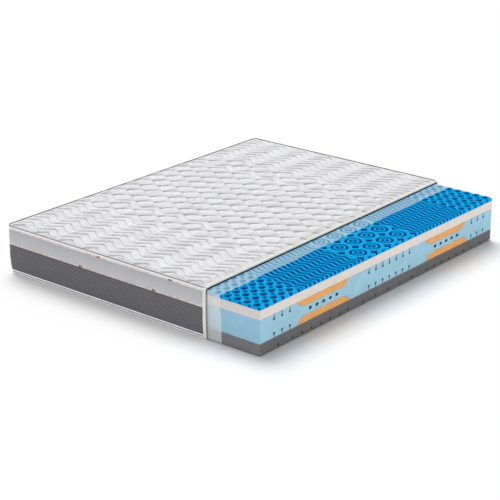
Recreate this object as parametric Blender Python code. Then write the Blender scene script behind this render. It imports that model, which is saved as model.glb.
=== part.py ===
"""Memory foam mattress: a zoned foam core in a quilted, zipped cover that stops short of one side.

Metres, +Z up. The origin lies on the floor under the middle of the mattress. +Y points to the
head end, and +X to the long side where the cover is cut away and the core is bare.
"""
import math

import bmesh
import bpy
from mathutils import Vector
from mathutils.geometry import tessellate_polygon

# Overall size, and the clearance between pieces that touch
HALF_WIDTH = 0.80
HALF_LENGTH = 0.95
GAP = 0.0003
CORNER_RADIUS = 0.035
LEAST_CORNER_RADIUS = 0.006
CORNER_SEGMENTS = 6

# How far a cutter reaches past what it cuts
CUT_OVER = 0.01

# How far the cover, its liner and the bare core reach across; the first two are cut a little
# aslant, further across at the foot than at the head
MOUTH_SLANT = 0.022
MOUTH_X = 0.4785
LINER_END_X = 0.5585
CORE_END_X = 0.7986

# Heights of the foam layers
CORE_BOTTOM = 0.0042
BASE_TOP = 0.058
CORE_TOP = 0.170
COMFORT_TOP = 0.2145
MEMORY_TOP = 0.2311

# Insets from the overall outline: border, liner and foam
BORDER_BACK = 0.0138
LINER_OUTSIDE = 0.0153
LINER_THICKNESS = 0.0006
FOAM_FACE = LINER_OUTSIDE + LINER_THICKNESS + GAP

# Keyhole slits and air channels of the core layer
SLIT_HALF = 0.0019
SLIT_PITCH = 0.055
SLIT_GROUPS = ((-0.837, 3), (-0.1385, 7), (0.743, 3))
SLIT_BULB_RADIUS = 0.0060
BULB_STEPS = 9
TOP_BULB_Z = 0.1470
BOTTOM_BULB_Z = 0.0785
CHANNEL_PITCH = 0.049
CHANNEL_GROUPS = ((-0.582, 5), (0.415, 5))
CHANNEL_HALF_WIDTH = 0.0105
CHANNEL_HALF_HEIGHT = 0.007
CHANNEL_Z = 0.117

# Pockets of the orange inserts: depth, reach and curve of each sloping end, and ends at the open face
INSERT_TOP_DEPTH = 0.0315
INSERT_BOTTOM_DEPTH = 0.0345
INSERT_END_REACH = 0.052
INSERT_END_POWER = 1.75
INSERT_END_STEPS = 6
FOOT_UPPER_SPAN = (-0.677, -0.295)
FOOT_LOWER_SPAN = (-0.677, -0.286)
HEAD_UPPER_SPAN = (0.330, 0.685)
HEAD_LOWER_SPAN = (0.335, 0.710)

# Keyhole slits of the base layer: first place, pitch and count of each group
BASE_SLIT_GROUPS = (
    (-0.810, 0.1, 1),
    (-0.708, 0.0685, 7),
    (-0.180, 0.0995, 5),
    (0.345, 0.066, 7),
    (0.833, 0.1, 1),
)
BASE_BULB_Z = 0.0165
BASE_BULB_RADIUS = 0.0044

# Ridges of the blue memory foam
RIDGE_PITCH = 0.031
RIDGE_DEPTH = 0.008
RIDGE_GROUPS = ((-0.639, 14), (0.250, 13))

# The border's outer face, as inset and height, from the floor up to the quilt
ENVELOPE = (
    (0.0098, 0.0012),
    (0.0068, 0.0030),
    (0.0062, 0.0070),
    (0.0058, 0.0165),
    (0.0046, 0.0260),
    (0.0024, 0.0550),
    (0.0011, 0.0950),
    (0.0011, 0.1350),
    (0.0018, 0.1750),
    (0.0032, 0.2100),
    (0.0046, 0.2330),
    (0.0045, 0.2455),
    (0.0060, 0.2474),
    (0.0100, 0.2479),
    (0.0200, 0.2484),
    (0.0450, 0.2489),
)

# The border's strips, each from its lower to its upper edge
MESH_SINK = 0.0006
MESH_THICKNESS = 0.0025
RIBBON_THICKNESS = 0.0028
DARK_MESH = (0.0200, 0.1527)
LOWER_RIBBON = (0.1530, 0.1605)
LIGHT_MESH = (0.1608, 0.2272)
UPPER_RIBBON = (0.2275, 0.2355)
GUSSET = (0.2358, 0.2422)
GUSSET_SINK = 0.0008
GUSSET_BACK = 0.0092
WADDING = (0.0200, 0.2332)
STRIP_STEPS = 4

# The quilted top, its layers and its piping
QUILT_EDGE = 0.0098
QUILT_EDGE_TOP = 0.2472
QUILT_SHOULDER = ((0.0130, 0.2477), (0.0200, 0.2483), (0.0450, 0.2489))
BACKING = (0.2335, 0.2343)
QUILT_WADDING = (0.2346, 0.2410)
PIPING_CENTRE = (0.0070, 0.2447)
PIPING_RADIUS = 0.0022
PIPING_SIDES = 10

# Welts and zip, low on the border
LOWER_WELT = (0.0028, 0.0067)
UPPER_WELT = (0.0137, 0.0197)
WELT_BACK = 0.0115
WELT_SIDES = 8
ZIP_Z = 0.0102
TAPE_INSET = (0.0120, 0.0130)
TAPE_EDGES = (0.0028, 0.0197)
CHAIN_HALF = 0.0020
CHAIN_INSET = (0.0085, 0.0117)

# Slider and pull, on the long side opposite the bare core
SLIDER_Y = 0.86
SLIDER_HALF_LENGTH = 0.005
SLIDER_HALF_HEIGHT = 0.0032
SLIDER_FACE = 0.0062
SLIDER_PLATE_BACK = 0.0081
SLIDER_LIP_BACK = 0.0112
SLIDER_LIP_GAP = 0.0023
BRIDGE_HALF_LENGTH = 0.0044
BRIDGE_HALF_WIDTH = 0.0008
BRIDGE_BAR = 0.0010
BRIDGE_OUTSIDE = 0.0028
PULL_INSET = 0.0050
PULL_HALF_THICKNESS = 0.0006
PULL_LENGTH = 0.028
PULL_HALF_WIDTH = 0.0040
PULL_EYE_HALF_WIDTH = 0.0021
PULL_EYE_LENGTH = 0.0065
PULL_CORNER_CUT = 0.002
PULL_HOLE_RADIUS = 0.0016
PULL_HOLE_PLACE = 0.004
PULL_HOLE_SIDES = 10

# Base panel and edge binding
PANEL_THICKNESS = 0.0025
PANEL_EDGE = 0.0100
PANEL_LIP = (0.0012, 0.0019)
BINDING_WIDTH = 0.015
BINDING_THICKNESS = 0.0008


def srgb(red, green, blue):
    """Linear colour of an 8-bit display colour."""
    return tuple(((c / 255 + 0.055) / 1.055) ** 2.4 for c in (red, green, blue)) + (1.0,)


def clear_scene():
    for thing in list(bpy.data.objects):
        bpy.data.objects.remove(thing, do_unlink=True)


def make_material(name, colour, roughness, metallic=0.0, alpha=1.0):
    material = bpy.data.materials.new(name)
    material.use_nodes = True
    shader = material.node_tree.nodes["Principled BSDF"]
    shader.inputs["Base Color"].default_value = colour
    shader.inputs["Roughness"].default_value = roughness
    shader.inputs["Metallic"].default_value = metallic
    shader.inputs["Alpha"].default_value = alpha
    return material


def make_object(name, verts, faces, material=None, parent=None, location=(0, 0, 0)):
    """A mesh object with its faces pointing out; verts are measured from location."""
    mesh = bpy.data.meshes.new(name)
    mesh.from_pydata(verts, [], faces)
    work = bmesh.new()
    work.from_mesh(mesh)
    bmesh.ops.recalc_face_normals(work, faces=work.faces)
    work.to_mesh(mesh)
    work.free()
    thing = bpy.data.objects.new(name, mesh)
    bpy.context.collection.objects.link(thing)
    thing.location = location
    thing.parent = parent
    if material:
        mesh.materials.append(material)
    return thing


def make_cutter(thing):
    """Keeps a Boolean's helper out of the model."""
    thing.hide_render = True
    thing.display_type = "WIRE"
    return thing


def add_boolean(thing, operation, helper):
    step = thing.modifiers.new(operation.lower(), "BOOLEAN")
    step.operation = operation
    step.solver = "EXACT"
    step.object = make_cutter(helper)


def smooth(thing, degrees=40):
    thing.data.shade_smooth()
    thing.data.set_sharp_from_angle(angle=math.radians(degrees))


def prism(name, loops, low, high, axis="X", **more):
    """Extrudes an outline, with any further loops as holes, along X, Y or Z.

    The outline's two numbers are the other two axes, in X, Y, Z order.
    """
    def point(pair, along):
        spot = list(pair)
        spot.insert("XYZ".index(axis), along)
        return spot

    flat = [pair for loop in loops for pair in loop]
    count = len(flat)
    verts = [point(pair, low) for pair in flat] + [point(pair, high) for pair in flat]
    caps = tessellate_polygon([[Vector((a, b, 0)) for a, b in loop] for loop in loops])
    faces = [tuple(tri) for tri in caps]
    faces += [tuple(index + count for index in tri) for tri in caps]
    start = 0
    for loop in loops:
        size = len(loop)
        for i in range(size):
            a = start + i
            b = start + (i + 1) % size
            faces.append((a, b, b + count, a + count))
        start += size
    return make_object(name, verts, faces, **more)


def offset_loop(loop, distance):
    """Moves each corner of a counter-clockwise loop outwards, square to its two edges."""
    moved = []
    for i, here in enumerate(loop):
        before = Vector(loop[i - 1])
        after = Vector(loop[(i + 1) % len(loop)])
        spot = Vector(here)
        first = (spot - before).normalized()
        second = (after - spot).normalized()
        normal = Vector((first.y + second.y, -first.x - second.x)).normalized()
        square = max(normal.dot(Vector((first.y, -first.x))), 0.3)
        moved.append(tuple(spot + normal * distance / square))
    return moved


def aslant(x, y):
    return (x - MOUTH_SLANT * y, y)


def shear(thing):
    """Slants a piece that was built square to the cover's mouth."""
    for vertex in thing.data.vertices:
        vertex.co.x, vertex.co.y = aslant(vertex.co.x, vertex.co.y)
    return thing


def plan_path(inset, end_x):
    """Points along foot, left and head sides at an inset, with round corners."""
    radius = max(CORNER_RADIUS - inset, LEAST_CORNER_RADIUS)
    centre_x = -HALF_WIDTH + inset + radius
    centre_y = HALF_LENGTH - inset - radius
    points = [aslant(end_x, -HALF_LENGTH + inset)]
    for side, start in ((-1, math.radians(270)), (1, math.radians(180))):
        for i in range(CORNER_SEGMENTS + 1):
            turn = start - math.radians(90) * i / CORNER_SEGMENTS
            points.append((centre_x + radius * math.cos(turn), side * centre_y + radius * math.sin(turn)))
    points.append(aslant(end_x, HALF_LENGTH - inset))
    return points


def sweep_band(name, profile, **more):
    """Carries a closed profile of (inset, height) points round the cover's three closed sides."""
    rows = [plan_path(inset, MOUTH_X - BINDING_THICKNESS - GAP) for inset, _ in profile]
    stations = len(rows[0])
    size = len(profile)
    verts = [(*rows[j][i], profile[j][1]) for i in range(stations) for j in range(size)]
    faces = [tuple(range(size)), tuple(range((stations - 1) * size, stations * size))]
    for i in range(stations - 1):
        for j in range(size):
            a = i * size + j
            b = i * size + (j + 1) % size
            faces.append((a, b, b + size, a + size))
    return make_object(name, verts, faces, **more)


def stack_plan(name, rings, end_x, **more):
    """Joins the plan outline at each (inset, height) into one closed slab."""
    rows = [plan_path(inset, end_x) for inset, _ in rings]
    size = len(rows[0])
    verts = [(x, y, rings[k][1]) for k, row in enumerate(rows) for x, y in row]
    faces = [tuple(range(size)), tuple(range((len(rings) - 1) * size, len(rings) * size))]
    for k in range(len(rings) - 1):
        for i in range(size):
            a = k * size + i
            b = k * size + (i + 1) % size
            faces.append((a, b, b + size, a + size))
    return make_object(name, verts, faces, **more)


def ellipse(centre, half_width, half_height, steps=14):
    turns = [2 * math.pi * i / steps for i in range(steps)]
    return [(centre[0] + half_width * math.cos(t), centre[1] + half_height * math.sin(t)) for t in turns]


def spaced(start, pitch, count):
    return [start + pitch * i for i in range(count)]


def keyhole(y, face_z, bulb_z, bulb_radius):
    """A slit from a face to a round bulb, as points in the order of rising y."""
    way = 1 if face_z > bulb_z else -1
    first = math.asin(SLIT_HALF / bulb_radius)
    points = [(y - SLIT_HALF, face_z)]
    for i in range(BULB_STEPS + 1):
        turn = first + (2 * math.pi - 2 * first) * i / BULB_STEPS
        points.append((y - bulb_radius * math.sin(turn), bulb_z + way * bulb_radius * math.cos(turn)))
    points.append((y + SLIT_HALF, face_z))
    return points


def pocket(span, face_z, depth):
    """A tray-shaped recess whose ends slope in and flatten; a positive depth goes up from the face."""
    left = []
    for i in range(INSERT_END_STEPS + 1):
        part = i / INSERT_END_STEPS
        left.append((INSERT_END_REACH * part, face_z + depth * (1 - (1 - part) ** INSERT_END_POWER)))
    rising = [(span[0] + reach, z) for reach, z in left]
    falling = [(span[1] - reach, z) for reach, z in reversed(left)]
    return rising + falling


def layer_outline(bottom, top, lower_features=(), upper_features=()):
    """Counter-clockwise YZ outline of a foam layer, with features cut into its two faces."""
    edge = HALF_LENGTH - FOAM_FACE
    outline = [(-edge, bottom)]
    for feature in sorted(lower_features):
        outline += feature
    outline += [(edge, bottom), (edge, top)]
    for feature in sorted(upper_features, reverse=True):
        outline += reversed(feature)
    outline.append((-edge, top))
    return outline


def foam_insert(name, outline, material, parent):
    return prism(name, [outline], -HALF_WIDTH + FOAM_FACE, CORE_END_X, material=material, parent=parent)


def foam_layer(name, outline, holes, material, parent):
    """A foam block right across the mattress, with round upright corners where it is covered."""
    edge = HALF_LENGTH - FOAM_FACE
    start_x = -HALF_WIDTH + FOAM_FACE
    radius = CORNER_RADIUS - FOAM_FACE
    flat = outline + [pair for hole in holes for pair in hole]
    count = len(flat)
    pulled_in = [(math.copysign(min(abs(y), edge - radius), y), z) for y, z in flat]
    verts = [(start_x, y, z) for y, z in pulled_in] + [(CORE_END_X, y, z) for y, z in flat]
    arcs = {}
    for i, (y, z) in enumerate(outline):
        if abs(y) == edge:
            arcs[i] = [i]
            for k in range(1, CORNER_SEGMENTS + 1):
                turn = math.radians(90) * k / CORNER_SEGMENTS
                arcs[i].append(len(verts))
                across = math.copysign(edge - radius + radius * math.sin(turn), y)
                verts.append((start_x + radius * (1 - math.cos(turn)), across, z))
    faces = []
    for shift, pairs in ((0, pulled_in), (count, flat)):
        loops = [pairs[:len(outline)]]
        start = len(outline)
        for hole in holes:
            loops.append(pairs[start:start + len(hole)])
            start += len(hole)
        caps = tessellate_polygon([[Vector((a, b, 0)) for a, b in loop] for loop in loops])
        faces += [tuple(index + shift for index in tri) for tri in caps]
    for i in range(len(outline)):
        after = (i + 1) % len(outline)
        first = arcs.get(i, [i])
        second = arcs.get(after, [after])
        if len(first) == len(second):
            faces += [(first[k], second[k], second[k + 1], first[k + 1]) for k in range(len(first) - 1)]
            faces.append((first[-1], second[-1], after + count, i + count))
        else:
            faces.append((*reversed(first), *second, after + count, i + count))
    start = len(outline)
    for hole in holes:
        for i in range(len(hole)):
            a = start + i
            b = start + (i + 1) % len(hole)
            faces.append((a, b, b + count, a + count))
        start += len(hole)
    return make_object(name, verts, faces, material=material, parent=parent)


def envelope_inset(height):
    """Inset of the border's outer face at a height."""
    for (inset_a, low), (inset_b, high) in zip(ENVELOPE, ENVELOPE[1:]):
        if low <= height <= high:
            return inset_a + (inset_b - inset_a) * (height - low) / (high - low)
    return ENVELOPE[-1][0]


def strip_profile(edges, sink, thickness=None, back=None):
    """Profile of a border strip: its face follows the envelope, its back a thickness or a plane."""
    heights = [edges[0] + (edges[1] - edges[0]) * i / STRIP_STEPS for i in range(STRIP_STEPS + 1)]
    front = [(envelope_inset(z) + sink, z) for z in heights]
    if thickness:
        rear = [(inset + thickness, z) for inset, z in reversed(front)]
    else:
        rear = [(back, edges[1]), (back, edges[0])]
    return front + rear


def round_profile(front, back, low, high, sides):
    centre = ((front + back) / 2, (low + high) / 2)
    return ellipse(centre, (back - front) / 2, (high - low) / 2, sides)


def box_profile(insets, edges):
    return [(insets[0], edges[0]), (insets[1], edges[0]), (insets[1], edges[1]), (insets[0], edges[1])]


def build_core(core):
    grey = make_material("base_foam", srgb(108, 108, 110), 0.95)
    base_slits = [
        keyhole(y, CORE_BOTTOM, BASE_BULB_Z, BASE_BULB_RADIUS)
        for group in BASE_SLIT_GROUPS
        for y in spaced(*group)
    ]
    foam_layer("base_foam", layer_outline(CORE_BOTTOM, BASE_TOP, base_slits), [], grey, core)

    light_blue = make_material("core_foam", srgb(148, 192, 206), 0.95)
    bottom = BASE_TOP + GAP
    slit_places = [y for start, count in SLIT_GROUPS for y in spaced(start, SLIT_PITCH, count)]
    upper = [keyhole(y, CORE_TOP, TOP_BULB_Z, SLIT_BULB_RADIUS) for y in slit_places]
    lower = [keyhole(y, bottom, BOTTOM_BULB_Z, SLIT_BULB_RADIUS) for y in slit_places]
    inserts = {
        "foot_upper_insert": pocket(FOOT_UPPER_SPAN, CORE_TOP, -INSERT_TOP_DEPTH),
        "foot_lower_insert": pocket(FOOT_LOWER_SPAN, bottom, INSERT_BOTTOM_DEPTH),
        "head_upper_insert": pocket(HEAD_UPPER_SPAN, CORE_TOP, -INSERT_TOP_DEPTH),
        "head_lower_insert": pocket(HEAD_LOWER_SPAN, bottom, INSERT_BOTTOM_DEPTH),
    }
    upper += [inserts["foot_upper_insert"], inserts["head_upper_insert"]]
    lower += [inserts["foot_lower_insert"], inserts["head_lower_insert"]]
    channels = [
        ellipse((y, CHANNEL_Z), CHANNEL_HALF_WIDTH, CHANNEL_HALF_HEIGHT)
        for start, count in CHANNEL_GROUPS
        for y in spaced(start, CHANNEL_PITCH, count)
    ]
    outline = layer_outline(bottom, CORE_TOP, lower, upper)
    foam_layer("core_foam", outline, channels, light_blue, core)

    for name, loop in inserts.items():
        orange = make_material(name, srgb(238, 168, 104), 0.9)
        counter_clockwise = loop if "upper" in name else loop[::-1]
        foam_insert(name, offset_loop(counter_clockwise, -GAP), orange, core)

    white = make_material("comfort_foam", srgb(222, 216, 213), 0.95)
    foam_layer("comfort_foam", layer_outline(CORE_TOP + GAP, COMFORT_TOP), [], white, core)

    blue = make_material("memory_foam_top", srgb(24, 140, 205), 0.8)
    valleys = [
        [(y, MEMORY_TOP), (y + RIDGE_PITCH / 2, MEMORY_TOP - RIDGE_DEPTH)]
        for start, count in RIDGE_GROUPS
        for y in spaced(start, RIDGE_PITCH, count)
    ]
    for start, count in RIDGE_GROUPS:
        valleys.append([(start + RIDGE_PITCH * count, MEMORY_TOP)])
    outline = layer_outline(COMFORT_TOP + GAP, MEMORY_TOP, (), valleys)
    foam_layer("memory_foam_top", outline, [], blue, core)

    film = make_material("inner_liner", srgb(232, 232, 230), 0.4, alpha=0.6)
    low = CORE_BOTTOM - GAP - LINER_THICKNESS
    high = MEMORY_TOP + GAP + LINER_THICKNESS
    outer = ((LINER_OUTSIDE, low), (LINER_OUTSIDE, high))
    liner = stack_plan("inner_liner", outer, LINER_END_X, material=film, parent=core)
    inset = LINER_OUTSIDE + LINER_THICKNESS
    inner = ((inset, low + LINER_THICKNESS), (inset, high - LINER_THICKNESS))
    add_boolean(liner, "DIFFERENCE", stack_plan("liner_inside", inner, LINER_END_X + CUT_OVER))


def build_quilt(cover):
    knit = make_material("quilted_top_panel", srgb(232, 232, 234), 0.85)
    end_x = MOUTH_X - BINDING_THICKNESS - GAP
    low = QUILT_WADDING[1] + GAP
    face = [(QUILT_EDGE, low), (QUILT_EDGE, QUILT_EDGE_TOP), *QUILT_SHOULDER]
    smooth(stack_plan("quilted_top_panel", face, end_x, material=knit, parent=cover), 20)
    for name, edges, colour in (
        ("quilt_fibre_wadding", QUILT_WADDING, srgb(240, 240, 238)),
        ("quilt_backing_cloth", BACKING, srgb(225, 225, 222)),
    ):
        rings = [(QUILT_EDGE, edges[0]), (QUILT_EDGE, edges[1])]
        stack_plan(name, rings, end_x, material=make_material(name, colour, 0.95), parent=cover)
    cord = make_material("top_piping", srgb(150, 150, 154), 0.8)
    loop = ellipse(PIPING_CENTRE, PIPING_RADIUS, PIPING_RADIUS, PIPING_SIDES)
    smooth(sweep_band("top_piping", loop, material=cord, parent=cover), 60)


def build_border(cover):
    strips = (
        ("dark_mesh_band", DARK_MESH, MESH_SINK, MESH_THICKNESS, srgb(98, 96, 100)),
        ("lower_trim_ribbon", LOWER_RIBBON, 0.0, RIBBON_THICKNESS, srgb(214, 208, 204)),
        ("light_mesh_band", LIGHT_MESH, MESH_SINK, MESH_THICKNESS, srgb(176, 176, 181)),
        ("upper_trim_ribbon", UPPER_RIBBON, 0.0, RIBBON_THICKNESS, srgb(214, 208, 204)),
    )
    for name, edges, sink, thickness, colour in strips:
        profile = strip_profile(edges, sink, thickness=thickness)
        cloth = make_material(name, colour, 0.9)
        smooth(sweep_band(name, profile, material=cloth, parent=cover))
    cloth = make_material("upper_gusset", srgb(222, 222, 224), 0.9)
    profile = strip_profile(GUSSET, GUSSET_SINK, back=GUSSET_BACK)
    smooth(sweep_band("upper_gusset", profile, material=cloth, parent=cover))
    fibre = make_material("border_wadding", srgb(238, 238, 236), 0.95)
    sink = MESH_SINK + RIBBON_THICKNESS + GAP
    profile = strip_profile(WADDING, sink, back=BORDER_BACK)
    smooth(sweep_band("border_wadding", profile, material=fibre, parent=cover))


def build_zip(cover):
    white = srgb(218, 218, 220)
    for name, edges in (("lower_welt", LOWER_WELT), ("upper_welt", UPPER_WELT)):
        front = envelope_inset((edges[0] + edges[1]) / 2) + MESH_SINK
        profile = round_profile(front, WELT_BACK, *edges, WELT_SIDES)
        smooth(sweep_band(name, profile, material=make_material(name, white, 0.85), parent=cover), 60)
    split = GAP / 2
    tapes = (
        ("zip_lower_tape", (TAPE_EDGES[0], ZIP_Z - split)),
        ("zip_upper_tape", (ZIP_Z + split, TAPE_EDGES[1])),
    )
    for name, edges in tapes:
        cloth = make_material(name, srgb(120, 120, 124), 0.85)
        sweep_band(name, box_profile(TAPE_INSET, edges), material=cloth, parent=cover)
    nylon = make_material("zip_chain", srgb(105, 105, 110), 0.5)
    chain = round_profile(*CHAIN_INSET, ZIP_Z - CHAIN_HALF, ZIP_Z + CHAIN_HALF, WELT_SIDES)
    smooth(sweep_band("zip_chain", chain, material=nylon, parent=cover), 60)


def build_slider(cover):
    """Slider shell over the chain, with a bridge that holds the pull's cross bar."""
    metal = make_material("zip_slider", srgb(165, 165, 168), 0.3, metallic=1.0)
    spot = (-HALF_WIDTH + SLIDER_FACE, SLIDER_Y, ZIP_Z)
    plate = SLIDER_PLATE_BACK - SLIDER_FACE
    lip = SLIDER_LIP_BACK - SLIDER_FACE
    tall = SLIDER_HALF_HEIGHT
    shell = [
        (0, -tall), (lip, -tall), (lip, -SLIDER_LIP_GAP), (plate, -SLIDER_LIP_GAP),
        (plate, SLIDER_LIP_GAP), (lip, SLIDER_LIP_GAP), (lip, tall), (0, tall),
    ]
    half = SLIDER_HALF_LENGTH
    slider = prism("zip_slider", [shell], -half, half, "Y", material=metal, parent=cover, location=spot)
    rise = SLIDER_FACE - BRIDGE_OUTSIDE
    reach = BRIDGE_HALF_LENGTH
    bar = BRIDGE_BAR
    root = plate / 2
    arch = [
        (-rise, -reach), (root, -reach), (root, bar - reach), (bar - rise, bar - reach),
        (bar - rise, reach - bar), (root, reach - bar), (root, reach), (-rise, reach),
    ]
    wide = BRIDGE_HALF_WIDTH
    bridge = prism("slider_bridge", [arch], -wide, wide, "Z", location=spot, parent=cover)
    add_boolean(slider, "UNION", bridge)
    return slider


def build_pull(slider):
    """Flat pull that lies along the zip; its eye's end bar passes under the slider's bridge."""
    metal = make_material("zip_pull_tab", srgb(160, 160, 163), 0.3, metallic=1.0)
    half = PULL_HALF_THICKNESS
    neck = PULL_EYE_HALF_WIDTH + 2 * half
    shoulder = -half - PULL_EYE_LENGTH
    tip = -PULL_LENGTH
    cut = PULL_CORNER_CUT
    inner = shoulder + half
    outline = [
        (half, -neck), (half, neck), (shoulder, neck), (shoulder - cut, PULL_HALF_WIDTH),
        (tip + cut, PULL_HALF_WIDTH), (tip, PULL_HALF_WIDTH - cut),
        (tip, cut - PULL_HALF_WIDTH), (tip + cut, -PULL_HALF_WIDTH),
        (shoulder - cut, -PULL_HALF_WIDTH), (shoulder, -neck),
    ]
    eye = [
        (-half, -PULL_EYE_HALF_WIDTH), (-half, PULL_EYE_HALF_WIDTH),
        (inner, PULL_EYE_HALF_WIDTH), (inner, -PULL_EYE_HALF_WIDTH),
    ]
    hole = ellipse((tip + PULL_HOLE_PLACE, 0), PULL_HOLE_RADIUS, PULL_HOLE_RADIUS, PULL_HOLE_SIDES)
    spot = (PULL_INSET - SLIDER_FACE, 0, 0)
    prism("zip_pull_tab", [outline, eye, hole], -half, half, material=metal, parent=slider, location=spot)


def section_loop():
    """The cover's whole YZ section outline, foot side, top and head side, counter-clockwise."""
    foot = [(-HALF_LENGTH + inset, z) for inset, z in ENVELOPE]
    head = [(-y, z) for y, z in reversed(foot)]
    return (foot + head)[::-1]


def build_base_and_binding(cover):
    cloth = make_material("base_panel", srgb(206, 206, 208), 0.9)
    end_x = MOUTH_X - BINDING_THICKNESS - GAP
    rings = [(PANEL_EDGE, 0.0), (PANEL_EDGE, PANEL_THICKNESS)]
    panel = stack_plan("base_panel", rings, end_x, material=cloth, parent=cover)
    step_x = MOUTH_X - BINDING_WIDTH - GAP
    reach = HALF_LENGTH + CUT_OVER
    for name, low, high in (
        ("panel_step_below", -CUT_OVER, PANEL_LIP[0]),
        ("panel_step_above", PANEL_LIP[1], CUT_OVER),
    ):
        square = [(-reach, low), (reach, low), (reach, high), (-reach, high)]
        step = shear(prism(name, [square], step_x, MOUTH_X + CUT_OVER))
        add_boolean(panel, "DIFFERENCE", step)

    tape = make_material("cut_edge_binding", srgb(214, 216, 214), 0.85)
    outside = section_loop()
    inside_low = PANEL_LIP[1]
    side = HALF_LENGTH - BORDER_BACK
    inside = [(-side, inside_low), (side, inside_low), (side, BACKING[0]), (-side, BACKING[0])]
    shell = GAP + BINDING_THICKNESS
    loops = [offset_loop(outside, shell), offset_loop(inside, -shell)]
    start_x = MOUTH_X - BINDING_WIDTH
    binding = shear(prism("cut_edge_binding", loops, start_x, MOUTH_X, material=tape, parent=cover))
    groove = shear(prism(
        "binding_groove", [offset_loop(outside, GAP), offset_loop(inside, -GAP)],
        start_x - CUT_OVER, MOUTH_X - BINDING_THICKNESS,
    ))
    add_boolean(binding, "DIFFERENCE", groove)


def make_empty(name):
    empty = bpy.data.objects.new(name, None)
    bpy.context.collection.objects.link(empty)
    return empty


def main():
    clear_scene()
    core = make_empty("core")
    cover = make_empty("cover")
    build_core(core)
    build_quilt(cover)
    build_border(cover)
    build_zip(cover)
    build_pull(build_slider(cover))
    build_base_and_binding(cover)


main()
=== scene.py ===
"""Looks of the zoned foam mattress: quilted cover, bound mouth, film liner and profiled foam core.

Metres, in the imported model's own frame: +Y to the head end, +X to the side where the core is bare.
"""
import math

import bmesh
import bpy
import numpy as np
from mathutils import Matrix, Vector, kdtree
from mathutils.geometry import delaunay_2d_cdt, tessellate_polygon


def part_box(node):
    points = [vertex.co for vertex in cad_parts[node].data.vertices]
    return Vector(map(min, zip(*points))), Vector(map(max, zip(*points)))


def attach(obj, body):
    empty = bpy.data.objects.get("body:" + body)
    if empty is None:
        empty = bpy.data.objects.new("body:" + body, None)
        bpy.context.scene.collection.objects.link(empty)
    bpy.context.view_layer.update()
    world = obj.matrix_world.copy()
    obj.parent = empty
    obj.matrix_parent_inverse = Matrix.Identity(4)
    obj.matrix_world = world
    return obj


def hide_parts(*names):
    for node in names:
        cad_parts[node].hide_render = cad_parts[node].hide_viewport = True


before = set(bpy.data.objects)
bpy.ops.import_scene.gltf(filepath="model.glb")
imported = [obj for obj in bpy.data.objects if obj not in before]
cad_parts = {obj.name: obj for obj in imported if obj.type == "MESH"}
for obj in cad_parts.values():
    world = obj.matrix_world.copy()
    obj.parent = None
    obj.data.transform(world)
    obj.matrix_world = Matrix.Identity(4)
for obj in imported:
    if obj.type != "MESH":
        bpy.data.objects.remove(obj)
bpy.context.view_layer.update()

# Plan outline of the cover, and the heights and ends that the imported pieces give
HALF_WIDTH = 0.80
HALF_LENGTH = 0.95
CORNER_RADIUS = 0.035
GAP = 0.0003
# The mouth and the film's free edge are cut aslant; these X places are where they cross Y = 0
MOUTH_SLANT = 0.022
BINDING_LOW, BINDING_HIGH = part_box("cut_edge_binding")
QUILT_LOW, QUILT_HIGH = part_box("quilted_top_panel")
LINER_LOW, LINER_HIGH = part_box("inner_liner")
FOAM_LOW, FOAM_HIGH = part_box("memory_foam_top")
MOUTH_X = BINDING_HIGH.x - MOUTH_SLANT * BINDING_HIGH.y
BINDING_START_X = BINDING_LOW.x + MOUTH_SLANT * BINDING_HIGH.y
TOP_LEG_X = BINDING_START_X + 0.005
CLOTH_END_X = QUILT_HIGH.x - MOUTH_SLANT * QUILT_HIGH.y
LINER_END_X = LINER_HIGH.x - MOUTH_SLANT * LINER_HIGH.y
FOAM_FACE = HALF_LENGTH - FOAM_HIGH.y
CORE_END_X = FOAM_HIGH.x
# Inside this X the core is hidden, and its pieces may be coarser
SEAM_X = BINDING_START_X - 0.01
# Heights in the cover: its floor cloth's two faces at the mouth, the padded top's underside, the shoulder
CLOTH_FLOOR = 0.0012
INNER_FLOOR = 0.0019
INNER_CEILING = 0.2335
SHOULDER_Z = 0.2474
INNER_REACH = HALF_LENGTH - 0.0138
# Points nearer than SAME_PLACE are merged, and edges shorter than NO_LENGTH are dissolved
SAME_PLACE = 0.00005
NO_LENGTH = 0.00002

# The border's outer face, as inset and height, from the floor up to the quilt
ENVELOPE = (
    (0.0098, 0.0012), (0.0068, 0.0030), (0.0062, 0.0070), (0.0058, 0.0165), (0.0046, 0.0260),
    (0.0024, 0.0550), (0.0011, 0.0950), (0.0011, 0.1350), (0.0018, 0.1750), (0.0032, 0.2100),
    (0.0046, 0.2330), (0.0045, 0.2455), (0.0060, 0.2474), (0.0100, 0.2479), (0.0200, 0.2484),
    (0.0450, 0.2489),
)


# ---- mesh helpers

def srgb(red, green, blue):
    """Linear colour of an 8-bit display colour."""
    return tuple(((c / 255 + 0.055) / 1.055) ** 2.4 for c in (red, green, blue)) + (1.0,)


def add_object(name, data):
    """A new object in the scene."""
    thing = bpy.data.objects.new(name, data)
    bpy.context.collection.objects.link(thing)
    return thing


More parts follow.
